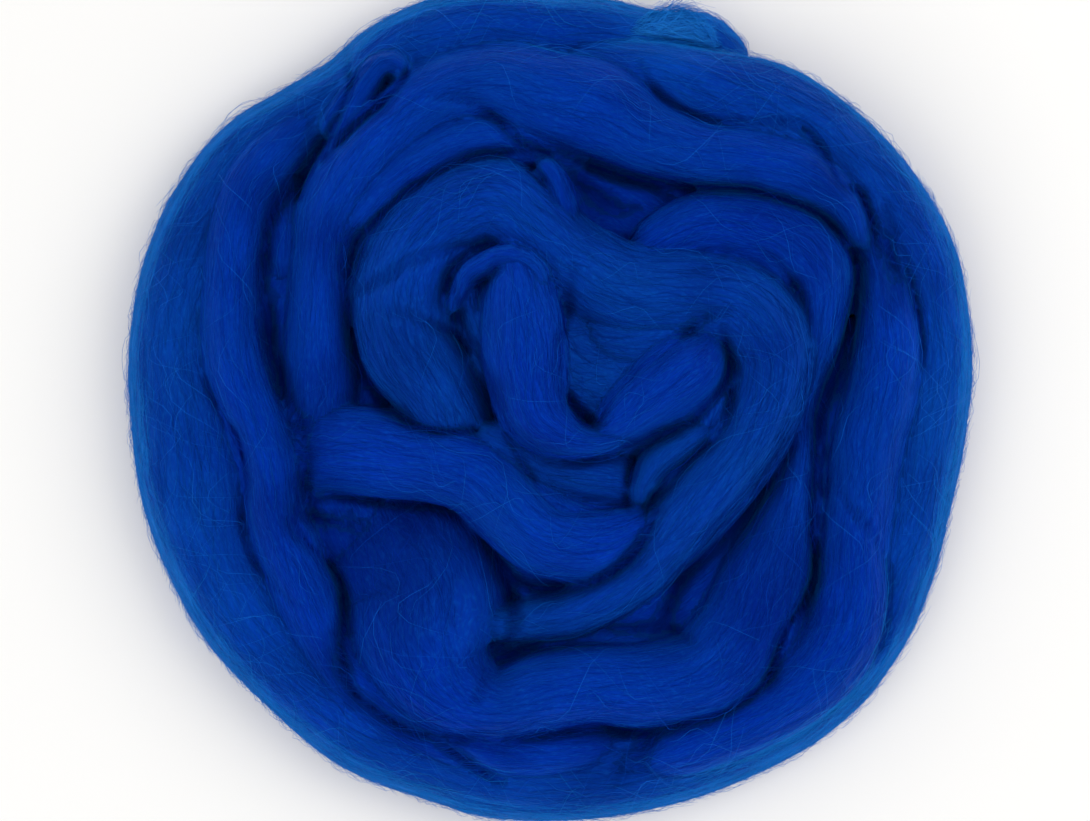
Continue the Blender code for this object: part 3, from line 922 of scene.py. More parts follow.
# %% The strand is laid
VEIL = {  # how far loose fibres veil each piece
    "first_turns": 0.0, "outside_turn": 0.65, "side_turns": 0.1, "upper_folds": 0.25, "lower_folds": 0.15,
    "heart": 0.6, "tongue": 0.0, "loose_end": 0.7,
}
heap = bpy.data.collections.new("heap")
laid = {}
for name, runs in FOLDS.items():
    fineness = {"Step": 0.004, "Sides": 28} if name == "first_turns" else {"Step": 0.0016, "Sides": 64}
    values = {"Wool": WOOL, "Veil": VEIL[name], **fineness}
    laid[name] = grow(path_object(name, runs), lay_strand, values)
    heap.objects.link(laid[name])
    print(name, len(runs), "runs,", len(laid[name].data.polygons), "faces")

# %% [markdown]
# ## Pressed together
#
# Laid like this the runs are separate tubes that pass through one another, with an end wherever a run
# starts. Real roving has no such ends: the wool is sticky with its own crimp, and where two turns press
# together they grow into one body with a soft crease. A voxel remesh does just that. It also forgets the
# UV map, so a small tree then asks, for each point of the new skin, which run was nearest and what its map
# said there.
#
# Where two turns lean on each other their crimp draws the wool down between them, and the crease gets
# sharper than two round strands would leave it. Each crease is a line seen from above, with a depth and a
# half-width at each point, and the skin is drawn down along it. A depth below zero raises the skin
# instead, for a fold that is puffed up. Drawing the lines also puts every shadow where the eye
# expects it.

# %% Creases round the heap
Crease = namedtuple("Crease", "x y deep wide")
HEART_MOAT = [
    Crease(-2, 77, 1, 3), Crease(6, 74, 4, 4), Crease(15, 71, 6, 6), Crease(24, 68, 6, 6),
    Crease(36, 66, 5, 5), Crease(48, 65, 4, 4), Crease(60, 64, 4, 4), Crease(69, 61, 3, 4),
    Crease(78, 58, 3, 3), Crease(85, 53, 2, 3), Crease(91, 47, 2, 4), Crease(93, 41, 4, 7),
    Crease(91, 31, 6, 8), Crease(89, 19, 6, 8), Crease(85, 8, 7, 9), Crease(81, -2, 7, 8),
    Crease(80, -14, 6, 6), Crease(79, -26, 5, 5), Crease(78, -37, 5, 4), Crease(79, -46, 5, 4),
    Crease(79, -53, 6, 5), Crease(75, -61, 6, 4), Crease(70, -68, 5, 4), Crease(67, -76, 6, 5),
    Crease(65, -83, 5, 5), Crease(61, -87, 3, 4), Crease(51, -93, 3, 4), Crease(39, -96, 4, 4),
    Crease(27, -99, 5, 5), Crease(16, -97, 4, 4), Crease(10, -97, 3, 4), Crease(1, -99, 3, 4),
    Crease(-11, -100, 3, 4), Crease(-23, -100, 3, 4), Crease(-35, -100, 4, 5), Crease(-45, -97, 5, 5),
    Crease(-53, -92, 6, 6), Crease(-60, -86, 7, 6), Crease(-63, -76, 7, 7), Crease(-63, -65, 5, 5),
    Crease(-63, -55, 5, 4), Crease(-69, -47, 4, 3), Crease(-76, -39, 5, 5), Crease(-78, -35, 4, 5),
]
CREASES = {
    "round the heart": HEART_MOAT,
    "on the split lobe": [
        Crease(-36, 91, 1, 4), Crease(-27, 91, 3, 5), Crease(-20, 88, 4, 6), Crease(-15, 84, 4, 5),
        Crease(-9, 78, 5, 5), Crease(-1, 75, 4, 4),
    ],
    "between the lobe and the heart": [
        Crease(-61, 34, 2, 4), Crease(-60, 42, 7, 6), Crease(-58, 49, 8, 7), Crease(-54, 53, 5, 5),
        Crease(-48, 59, 4, 4), Crease(-42, 64, 4, 4), Crease(-33, 69, 3, 4), Crease(-24, 73, 4, 5),
        Crease(-15, 75, 4, 5), Crease(-6, 75, 4, 4),
    ],
    "left of the heart": [
        Crease(-61, 34, 2, 4), Crease(-60, 26, 2, 3), Crease(-59, 16, 3, 4), Crease(-57, 9, 4, 5),
        Crease(-51, 2, 6, 6), Crease(-44, -4, 6, 6), Crease(-38, -8, 4, 4), Crease(-31, -9, 3, 3),
        Crease(-22, -8, 2, 3),
    ],
    "inside the left turn": [
        Crease(-75, 65, 5, 5), Crease(-80, 62, 4, 7), Crease(-84, 56, 4, 7), Crease(-86, 48, 3, 7),
        Crease(-87, 38, 3, 5), Crease(-85, 28, 6, 6), Crease(-85, 18, 7, 6), Crease(-82, 9, 5, 7),
        Crease(-78, 1, 4, 8), Crease(-75, -8, 3, 9), Crease(-73, -16, 3, 8), Crease(-75, -24, 4, 7),
        Crease(-77, -34, 5, 5),
    ],
    "left of the thin curl": [
        Crease(-76, 63, 6, 6), Crease(-72, 73, 6, 5), Crease(-66, 82, 6, 5), Crease(-62, 90, 5, 4),
        Crease(-59, 97, 4, 3), Crease(-54, 102, 2, 2),
    ],
    "over the rim": [Crease(-60, 95, 2, 3), Crease(-61, 101, 2, 3), Crease(-62, 107, 2, 4)],
    "right of the thin curl": [
        Crease(-68, 73, 5, 4), Crease(-62, 79, 6, 4), Crease(-57, 84, 6, 4), Crease(-51, 89, 7, 5),
        Crease(-45, 95, 4, 3), Crease(-43, 100, 2, 2),
    ],
    "through the thin curl": [Crease(-53, 90, 4, 3), Crease(-50, 95, 6, 4), Crease(-47, 100, 2, 2)],
    "under the rim at the top": [
        Crease(27, 101, 1, 3), Crease(31, 93, 2, 4), Crease(36, 89, 2, 4), Crease(42, 86, 2, 4),
        Crease(49, 84, 2, 3), Crease(58, 84, 2, 3), Crease(67, 84, 3, 3), Crease(75, 82, 4, 4),
        Crease(80, 77, 4, 4), Crease(83, 71, 3, 3), Crease(86, 65, 3, 3), Crease(92, 63, 4, 4),
        Crease(95, 57, 5, 4), Crease(97, 50, 4, 5), Crease(98, 43, 1, 4),
    ],
    "under the rim at the right": [
        Crease(104, 47, 1, 3), Crease(107, 40, 3, 3), Crease(109, 33, 3, 3), Crease(111, 21, 3, 3),
        Crease(111, 13, 2, 3), Crease(108, 4, 1, 3),
    ],
    "under the rim at the lower right": [
        Crease(86, -25, 1, 3), Crease(90, -32, 2, 4), Crease(95, -38, 2, 4), Crease(99, -45, 2, 4),
        Crease(101, -53, 2, 4), Crease(101, -62, 2, 4), Crease(99, -71, 2, 4), Crease(94, -78, 2, 4),
        Crease(87, -86, 1, 3),
    ],
    "beside the second turn": [
        Crease(-104, 8, 1, 3), Crease(-98, -4, 4, 4), Crease(-94, -9, 5, 4), Crease(-92, -16, 5, 4),
        Crease(-91, -25, 4, 4), Crease(-92, -34, 2, 4), Crease(-90, -44, 1, 4), Crease(-85, -52, 2, 4),
        Crease(-77, -60, 1, 4),
    ],
    "across the bottom": [
        Crease(-35, -101, 4, 4), Crease(-27, -106, 5, 4), Crease(-21, -110, 4, 4),
        Crease(-15, -114, 2, 3),
    ],
    "at the last turn's end": [
        Crease(31, -99, 4, 8), Crease(27, -103, 4, 9), Crease(23, -108, 4, 9), Crease(19, -113, 2, 6),
    ],
}

# %% Creases inside the heap
CREASES |= {
    "where the second turn sinks": [
        Crease(100, 58, 2, 6), Crease(101, 50, 3, 8), Crease(102, 42, 3, 8), Crease(102, 33, 3, 8),
        Crease(101, 25, 1, 6),
    ],
    "in the upper pocket": [
        Crease(3, 69, 1, 6), Crease(9, 65, 5, 10), Crease(15, 61, 6, 12), Crease(21, 58, 5, 10),
        Crease(27, 59, 3, 7),
    ],
    "at the loop's corner": [
        Crease(-76, -33, 5, 6), Crease(-70, -35, 6, 8), Crease(-63, -36, 4, 7), Crease(-57, -36, 2, 5),
    ],
    "the loop's crown, which swells instead": [
        Crease(-24, -56, -3, 8), Crease(-23, -63, -4, 9), Crease(-26, -71, -2, 8),
    ],
    "under the middle band": [
        Crease(-76, -30, 4, 5), Crease(-65, -28, 4, 4), Crease(-53, -29, 3, 4), Crease(-42, -30, 3, 4),
        Crease(-32, -31, 4, 4), Crease(-26, -34, 4, 4), Crease(-21, -39, 4, 4), Crease(-17, -46, 5, 5),
        Crease(-11, -53, 6, 6), Crease(-2, -56, 5, 5), Crease(7, -56, 4, 4), Crease(16, -52, 5, 5),
        Crease(24, -46, 6, 6), Crease(29, -39, 5, 5), Crease(32, -32, 4, 4),
    ],
    "right of the loop": [
        Crease(-17, -49, 4, 5), Crease(-13, -56, 7, 6), Crease(-11, -64, 6, 6), Crease(-13, -71, 3, 3),
        Crease(-18, -76, 2, 4), Crease(-20, -82, 2, 5), Crease(-22, -87, 2, 5),
    ],
    "under the heart": [
        Crease(-16, -77, 4, 5), Crease(-9, -74, 5, 5), Crease(-1, -71, 2, 4), Crease(6, -70, 2, 3),
        Crease(15, -68, 2, 3), Crease(27, -68, 5, 6), Crease(34, -68, 6, 7), Crease(42, -71, 3, 4),
    ],
    "right of the heart": [
        Crease(77, 17, 2, 4), Crease(76, 7, 3, 5), Crease(74, -2, 4, 5), Crease(70, -11, 5, 6),
        Crease(64, -21, 6, 7), Crease(57, -30, 6, 7), Crease(50, -38, 6, 7), Crease(43, -46, 6, 7),
        Crease(38, -53, 6, 8), Crease(36, -60, 6, 8), Crease(34, -66, 6, 9),
    ],
    "inside the lower loop": [
        Crease(52, 46, 1, 3), Crease(60, 46, 1, 3), Crease(66, 43, 2, 3), Crease(70, 39, 3, 4),
        Crease(73, 35, 5, 5), Crease(75, 31, 3, 4), Crease(77, 24, 2, 3), Crease(77, 17, 1, 3),
    ],
    "left of the tongue": [
        Crease(-31, 38, 1, 3), Crease(-28, 32, 2, 3), Crease(-27, 25, 2, 4), Crease(-23, 17, 4, 4),
        Crease(-19, 10, 4, 5), Crease(-16, 1, 5, 5), Crease(-12, -7, 4, 4), Crease(-4, -14, 3, 4),
        Crease(7, -17, 3, 4), Crease(16, -15, 3, 4), Crease(24, -12, 3, 4), Crease(31, -9, 4, 4),
        Crease(41, -6, 4, 4), Crease(48, 1, 4, 4), Crease(52, 7, 5, 4), Crease(53, 14, 4, 4),
        Crease(51, 22, 3, 4),
    ],
    "on the heart's left": [
        Crease(-46, 27, 1, 4), Crease(-40, 25, 2, 4), Crease(-35, 23, 4, 5), Crease(-30, 21, 5, 5),
        Crease(-25, 16, 5, 5),
    ],
    "in the heart's turn": [
        Crease(-56, 34, 2, 4), Crease(-50, 37, 3, 5), Crease(-42, 42, 3, 5), Crease(-33, 45, 3, 5),
        Crease(-24, 47, 3, 4), Crease(-15, 47, 2, 4),
    ],
    "inside the lip": [
        Crease(-22, 28, 2, 3), Crease(-21, 35, 3, 3), Crease(-16, 40, 3, 3),
    ],
    "right of the tongue": [
        Crease(6, 40, 1, 4), Crease(5, 28, 2, 4), Crease(2, 16, 3, 4), Crease(3, 7, 3, 4),
        Crease(5, 1, 4, 4), Crease(9, -4, 5, 5), Crease(14, -6, 5, 4), Crease(17, -1, 3, 4),
        Crease(22, 6, 2, 5), Crease(30, 12, 2, 5), Crease(39, 19, 3, 6), Crease(45, 25, 4, 6),
        Crease(52, 27, 2, 4),
    ],
    "left of the wedge": [
        Crease(24, -28, 3, 4), Crease(25, -18, 4, 4), Crease(30, -12, 5, 4), Crease(38, -8, 4, 4),
    ],
    "right of the wedge": [
        Crease(29, -31, 3, 3), Crease(34, -22, 5, 5), Crease(42, -16, 4, 4), Crease(49, -11, 4, 4),
        Crease(53, -4, 5, 5), Crease(54, 4, 4, 4),
    ],
    "above the middle band": [
        Crease(-13, -9, 2, 3), Crease(-10, -15, 2, 4), Crease(-6, -22, 3, 4), Crease(-2, -28, 3, 4),
        Crease(4, -32, 3, 4), Crease(15, -32, 2, 3), Crease(25, -30, 2, 3),
    ],
}
print(sum(len(points) for points in CREASES.values()), "points on", len(CREASES), "creases")


def crease_lines(name):
    """The creases as lines on the table."""
    return line_object(
        name, CREASES.values(), lambda point: (point.x, point.y, 0),
        {
            "deep": lambda point, number: point.deep * MM,
            "wide": lambda point, number: point.wide * MM,
        },
    )


def creasing_tree():
    """Draws the skin down along the creases, to a sharp line, and less so the nearer it is to the table."""
    t = Tree("crease")
    skin = t.takes("Geometry", "Geometry")
    narrow = t.takes("Narrowing", "Float", 0.85)
    lines = t.add("GeometryNodeObjectInfo", {"Object": t.takes("Lines", "Object")}).outputs["Geometry"]
    step = t.takes("Step", "Float", 0.0007)
    waver = t.takes("Waver", "Float", 0.0009)
    waver_long = t.takes("Waver Length", "Float", 0.009)
    lines = t.add("GeometryNodeMeshToCurve", {0: lines}).outputs[0]
    lines = t.add("GeometryNodeCurveSplineType", {0: lines}, spline_type="CATMULL_ROM").outputs[0]
    lines = t.add("GeometryNodeResampleCurve", {0: lines, "Length": step}, mode="LENGTH").outputs[0]
    lines = t.add("GeometryNodeCurveToMesh", {0: lines}).outputs[0]
    here = t.add("GeometryNodeInputPosition").outputs[0]
    x, y, z = t.parts(here)
    on_table = t.xyz(x, y, 0.0)
    gap = t.add("GeometryNodeProximity", {0: lines, "Source Position": on_table}, target_element="EDGES")
    unsteady = t.noise(t.times(here, t.maths("DIVIDE", 1.0, waver_long)), 1.0, 1.0)
    gap = t.maths("MULTIPLY_ADD", unsteady, waver, gap.outputs["Distance"])
    nearest = t.add("GeometryNodeSampleNearest", {0: lines, "Sample Position": on_table}, domain="POINT")

    def at_nearest(name):
        node = t.add("GeometryNodeSampleIndex", {
            0: lines, "Value": t.stored(name), "Index": nearest.outputs[0],
        }, data_type="FLOAT", domain="POINT")
        return node.outputs[0]

    reach = t.maths("MULTIPLY", at_nearest("wide"), narrow)
    near = t.maths("SUBTRACT", 1.0, t.maths("DIVIDE", t.maths("MAXIMUM", gap, 0.0), reach))
    near = t.maths("MAXIMUM", near, 0.0)

    # A crease is near squared, which is sharp. A swelling is near squared times 3 - 2 near, which is round.
    swell = t.maths("LESS_THAN", at_nearest("deep"), 0.0)
    rounded = t.maths("MULTIPLY_ADD", swell, 2.0, 1.0)
    rounded = t.maths("MULTIPLY_ADD", t.maths("MULTIPLY", near, swell), -2.0, rounded)
    groove = t.maths("MULTIPLY", t.maths("MULTIPLY", near, near), rounded)
    high = t.add("ShaderNodeMapRange", {"Value": z, "From Min": 0.007, "From Max": 0.019})
    groove = t.maths("MULTIPLY", groove, high.outputs[0])
    drop = t.maths("MULTIPLY", groove, at_nearest("deep"))
    skin, pressed_in = t.keep(skin, drop=drop)
    down = t.xyz(0.0, 0.0, t.maths("MULTIPLY", pressed_in["drop"], -1.0))
    skin = t.add("GeometryNodeSetPosition", {0: skin, "Offset": down}).outputs[0]
    skin = t.add("GeometryNodeStoreNamedAttribute", {0: skin, "Name": "groove", "Value": pressed_in["drop"]},
                 data_type="FLOAT", domain="POINT").outputs[0]
    t.gives("Geometry", "Geometry", skin)
    return t


# %% The folds are pressed into one body
VOXEL_MM = 1.1
SOFTENING_ROUNDS = 1
PRESS_MM = 0.35  # skin that is lower than this lies on the table
BODY_TRIANGLES = 190000


def gathering_tree():
    """All the laid runs as one mesh."""
    t = Tree("gather")
    t.takes("Geometry", "Geometry")
    runs = t.add("GeometryNodeCollectionInfo", {"Collection": t.takes("Runs", "Collection")}).outputs[0]
    t.gives("Geometry", "Geometry", t.add("GeometryNodeRealizeInstances", {0: runs}).outputs[0])
    return t


def outer_skin(shape):
    """Drops the walls of the pockets of air that the folds close in."""
    left, parts = set(shape.verts), []
    while left:
        front = [left.pop()]
        part = set(front)
        while front:
            for edge in front.pop().link_edges:
                for vert in edge.verts:
                    if vert in left:
                        left.remove(vert)
                        part.add(vert)
                        front.append(vert)
        parts.append(part)
    for part in sorted(parts, key=len)[:-1]:
        bmesh.ops.delete(shape, geom=list(part), context="VERTS")


def pressed(name, runs):
    """One closed body from all the runs, flat underneath."""
    nest = grow(path_object(name, []), gathering_tree(), {"Runs": runs})
    remesh = nest.modifiers.new("press", "REMESH")
    remesh.mode = "VOXEL"
    remesh.voxel_size = VOXEL_MM * MM
    soften = nest.modifiers.new("soften", "SMOOTH")
    soften.factor = 0.5
    soften.iterations = SOFTENING_ROUNDS
    bpy.context.view_layer.update()
    shape = bmesh.new()
    shape.from_object(nest, bpy.context.evaluated_depsgraph_get())
    nest.modifiers.clear()
    outer_skin(shape)
    made = sum(len(face.verts) - 2 for face in shape.faces)
    shape.to_mesh(nest.data)
    thin = nest.modifiers.new("thin", "DECIMATE")
    thin.ratio = min(1.0, BODY_TRIANGLES / made)
    bpy.context.view_layer.update()
    shape.clear()
    shape.from_object(nest, bpy.context.evaluated_depsgraph_get())
    nest.modifiers.clear()
    for vert in shape.verts:
        if vert.co.z < PRESS_MM * MM:
            vert.co.z = 0.0
    for face in shape.faces:
        face.smooth = True
    mesh = bpy.data.meshes.new(name)
    shape.to_mesh(mesh)
    shape.free()
    nest.data = mesh
    return nest


body = pressed("pressed_strand", heap)
lines = crease_lines("crease_lines")
grow(body, creasing_tree(), {"Lines": lines})
bpy.data.objects.remove(lines)
print("the pressed strand has", triangles(body), "triangles")

# %% [markdown]
# ## What the skin knows
#
# The looks of real wool depend on where it lies. Down in a crease little light comes in, loose fibres
# veil some turns more than others, and round the rim they stand against the light as a haze. So each
# point of the skin gets these as numbers: its run's map, how thickly it is veiled, how open it lies to
# the sky, which sets a painted shade in its colour, how much of the rim it is, which sets a painted rim
# light, and its dye, whose patches also paint shade and light. Rays sent out from the skin measure how
# open it is: the sooner they meet another fold, the deeper it lies.

# %% The skin is measured
SKY_DIRECTIONS = 12
SKY_LEAN = 0.9  # how far the rays lean over, from straight out of the skin
CLEAR = 0.0006  # the rays start this far off the skin, in metres
CREASE_PAINTED_SHADE = 90.0  # the painted shade that a pressed crease adds, as a share of openness, for each metre of its depth
MOST_PAINTED_SHADE = 0.45
SIDE_REACH = 0.2  # how far sideways the rays look for another fold, in metres


def tracing_tree():
    """Gives each corner of the skin the map of the run that it was pressed from, and its other measures."""
    t = Tree("trace_strand")
    skin = t.takes("Geometry", "Geometry")
    runs = t.add("GeometryNodeCollectionInfo", {"Collection": t.takes("Runs", "Collection")}).outputs[0]
    runs = t.add("GeometryNodeRealizeInstances", {0: runs}).outputs[0]
    nearest = t.add("GeometryNodeSampleNearestSurface", {0: runs}, data_type="FLOAT_VECTOR")
    t.feed(nearest.inputs["Value"], t.stored("Strand", "FLOAT_VECTOR"))
    uv = nearest.outputs["Value"]
    skin = t.add("GeometryNodeStoreNamedAttribute", {0: skin, "Name": "Strand", "Value": uv},
                 data_type="FLOAT2", domain="CORNER").outputs[0]
    veil = t.add("GeometryNodeSampleNearestSurface", {0: runs}, data_type="FLOAT")
    t.feed(veil.inputs["Value"], t.stored("veil"))
    veil = t.add("GeometryNodeBlurAttribute", {"Value": veil.outputs["Value"], "Iterations": 2}).outputs[0]
    skin = t.add("GeometryNodeStoreNamedAttribute", {0: skin, "Name": "veil", "Value": veil},
                 data_type="FLOAT", domain="POINT").outputs[0]

    reach = t.takes("Crease Reach", "Float", 0.016)
    outward = t.add("GeometryNodeInputNormal").outputs[0]
    here = t.add("GeometryNodeInputPosition").outputs[0]
    clear_of = t.vector("ADD", here, t.times(outward, CLEAR))
    open_share = 0.0
    for i in range(SKY_DIRECTIONS):
        turn = tau * i / SKY_DIRECTIONS
        lean = SKY_LEAN if i % 2 else SKY_LEAN * 0.5
        ray = t.vector("ADD", outward, (lean * cos(turn), lean * sin(turn), 0.0))
        hit = t.add("GeometryNodeRaycast", {
            "Target Geometry": skin, "Source Position": clear_of, "Ray Direction": ray, "Ray Length": reach,
        })
        seen = t.add("GeometryNodeSwitch", {"Switch": hit.outputs["Is Hit"], "False": 1.0},
                     input_type="FLOAT")
        t.feed(seen.inputs["True"], t.maths("DIVIDE", hit.outputs["Hit Distance"], reach))
        open_share = t.maths("MULTIPLY_ADD", seen.outputs[0], 1 / SKY_DIRECTIONS, open_share)
    # A pressed crease lowers the openness, and so adds painted shade to the colour there.
    groove_painted_shade = t.maths("MULTIPLY", t.stored("groove"), CREASE_PAINTED_SHADE)
    groove_painted_shade = t.maths("MAXIMUM", t.maths("MINIMUM", groove_painted_shade, MOST_PAINTED_SHADE), 0.0)
    open_share = t.maths("MULTIPLY", open_share, t.maths("SUBTRACT", 1.0, groove_painted_shade))
    evened = t.add("GeometryNodeBlurAttribute", {"Value": open_share, "Iterations": 1})
    skin = t.add("GeometryNodeStoreNamedAttribute", {0: skin, "Name": "open", "Value": evened.outputs[0]},
                 data_type="FLOAT", domain="POINT").outputs[0]

    # The rim is steep and low skin with nothing beyond it, and its colour gets a painted light there, for
    # light that comes through its loose fibres. The painted light fades towards the table, as a painted shade
    # where the wool lies in its own shade, and where the skin leans down.
    sideways = t.vector("NORMALIZE", t.vector("MULTIPLY", outward, (1, 1, 0)))
    beyond = t.add("GeometryNodeRaycast", {
        "Target Geometry": skin, "Source Position": clear_of,
        "Ray Direction": sideways, "Ray Length": SIDE_REACH,
    })
    steep = t.add("ShaderNodeMapRange", {"Value": t.parts(outward)[2], "From Min": 0.99, "From Max": 0.40},
                  interpolation_type="SMOOTHSTEP")
    low = t.add("ShaderNodeMapRange", {"Value": t.parts(here)[2], "From Min": 0.028, "From Max": 0.022})
    off_table = t.add("ShaderNodeMapRange", {
        "Value": t.parts(here)[2], "From Min": 0.000, "From Max": 0.018, "To Min": 0.4, "To Max": 1.0,
    })
    leans_up = t.add("ShaderNodeMapRange", {
        "Value": t.parts(outward)[2], "From Min": -0.80, "From Max": 0.30, "To Min": 0.2, "To Max": 1.0,
    })
    rim = t.maths("MULTIPLY", steep.outputs[0], t.maths("SUBTRACT", 1.0, beyond.outputs["Is Hit"]))
    for share in (low, off_table, leans_up):
        rim = t.maths("MULTIPLY", rim, share.outputs[0])
    rim = t.add("GeometryNodeBlurAttribute", {"Value": rim, "Iterations": 3}).outputs[0]
    skin = t.add("GeometryNodeStoreNamedAttribute", {0: skin, "Name": "rim", "Value": rim},
                 data_type="FLOAT", domain="POINT").outputs[0]
    # The patches of dye, which also paint shade and light into the colour.
    skin = t.add("GeometryNodeStoreNamedAttribute", {0: skin, "Name": "dye", "Value": dye_and_painted_shade_at(t, here)},
                 data_type="FLOAT", domain="POINT").outputs[0]
    wool = t.takes("Wool", "Material")
    skin = t.add("GeometryNodeRealizeInstances", {0: skin}).outputs[0]
    skin = t.add("GeometryNodeSetMaterial", {0: skin, "Material": wool}).outputs[0]
    t.gives("Geometry", "Geometry", skin)
    return t


grow(body, tracing_tree(), {"Runs": heap, "Wool": WOOL})
print("measured:", ", ".join(name for name in ("veil", "open", "rim", "dye") if name in body.data.attributes))

# %% [markdown]
# ## Fibres
#
# A smooth surface with streaks would look like plastic at its edges, where real wool ends in a haze. So
# fibres are laid on it one by one. Each starts at a random spot on the strand and follows it for a
# centimetre or two, because the strand's UV map says where "further along" is: the tree walks along the
# map and asks the surface for the place and the normal there. A ray sent up from each spot tells whether
# another fold covers it, so none is wasted inside the heap. The same tree makes every kind of fibre, from
# the close, combed ones to the long strays, with other numbers.


# %% The tree that combs fibres
FARTHEST_OFF = 0.007  # no fibre grows where the skin was pressed further than this from its run, in metres
FACING_DOWN = -0.45  # nor where the skin faces the table
OPEN_ENOUGH = 0.35  # nor deep in a crease
DYE_AND_SHADE_ON_FIBRES = 0.35  # how far the dye and painted shade patches shift a fibre's tone
PLAIN_OPENNESS, PAINTED_SHADE_ON_FIBRES = 0.92, 2.2  # painted shade: fibres are deeper where the skin is less open than this
PALE_ABOVE, DEEP_BELOW, RIM_LIT_ABOVE = 0.72, 0.30, 0.4
RIM_BREAKS = 0.25  # how ragged the edge of the rim-lit fibres is
SWAYS, SWAY = 5.0, 0.35  # how often a fibre sways along its length, and how far
END_MARGIN, SEAM_MARGIN = 0.0006, 0.001  # fibres stay this far inside their run's map
ABOVE_BODY, COVER_REACH = 0.0005, 0.08  # rays that look for another fold over a fibre start and end here
OFF_TABLE = 0.0002
FLICK = 1.8  # a loose end lifts off late and fast
TIP_SHARE = 0.35  # how thick a tip is beside the middle


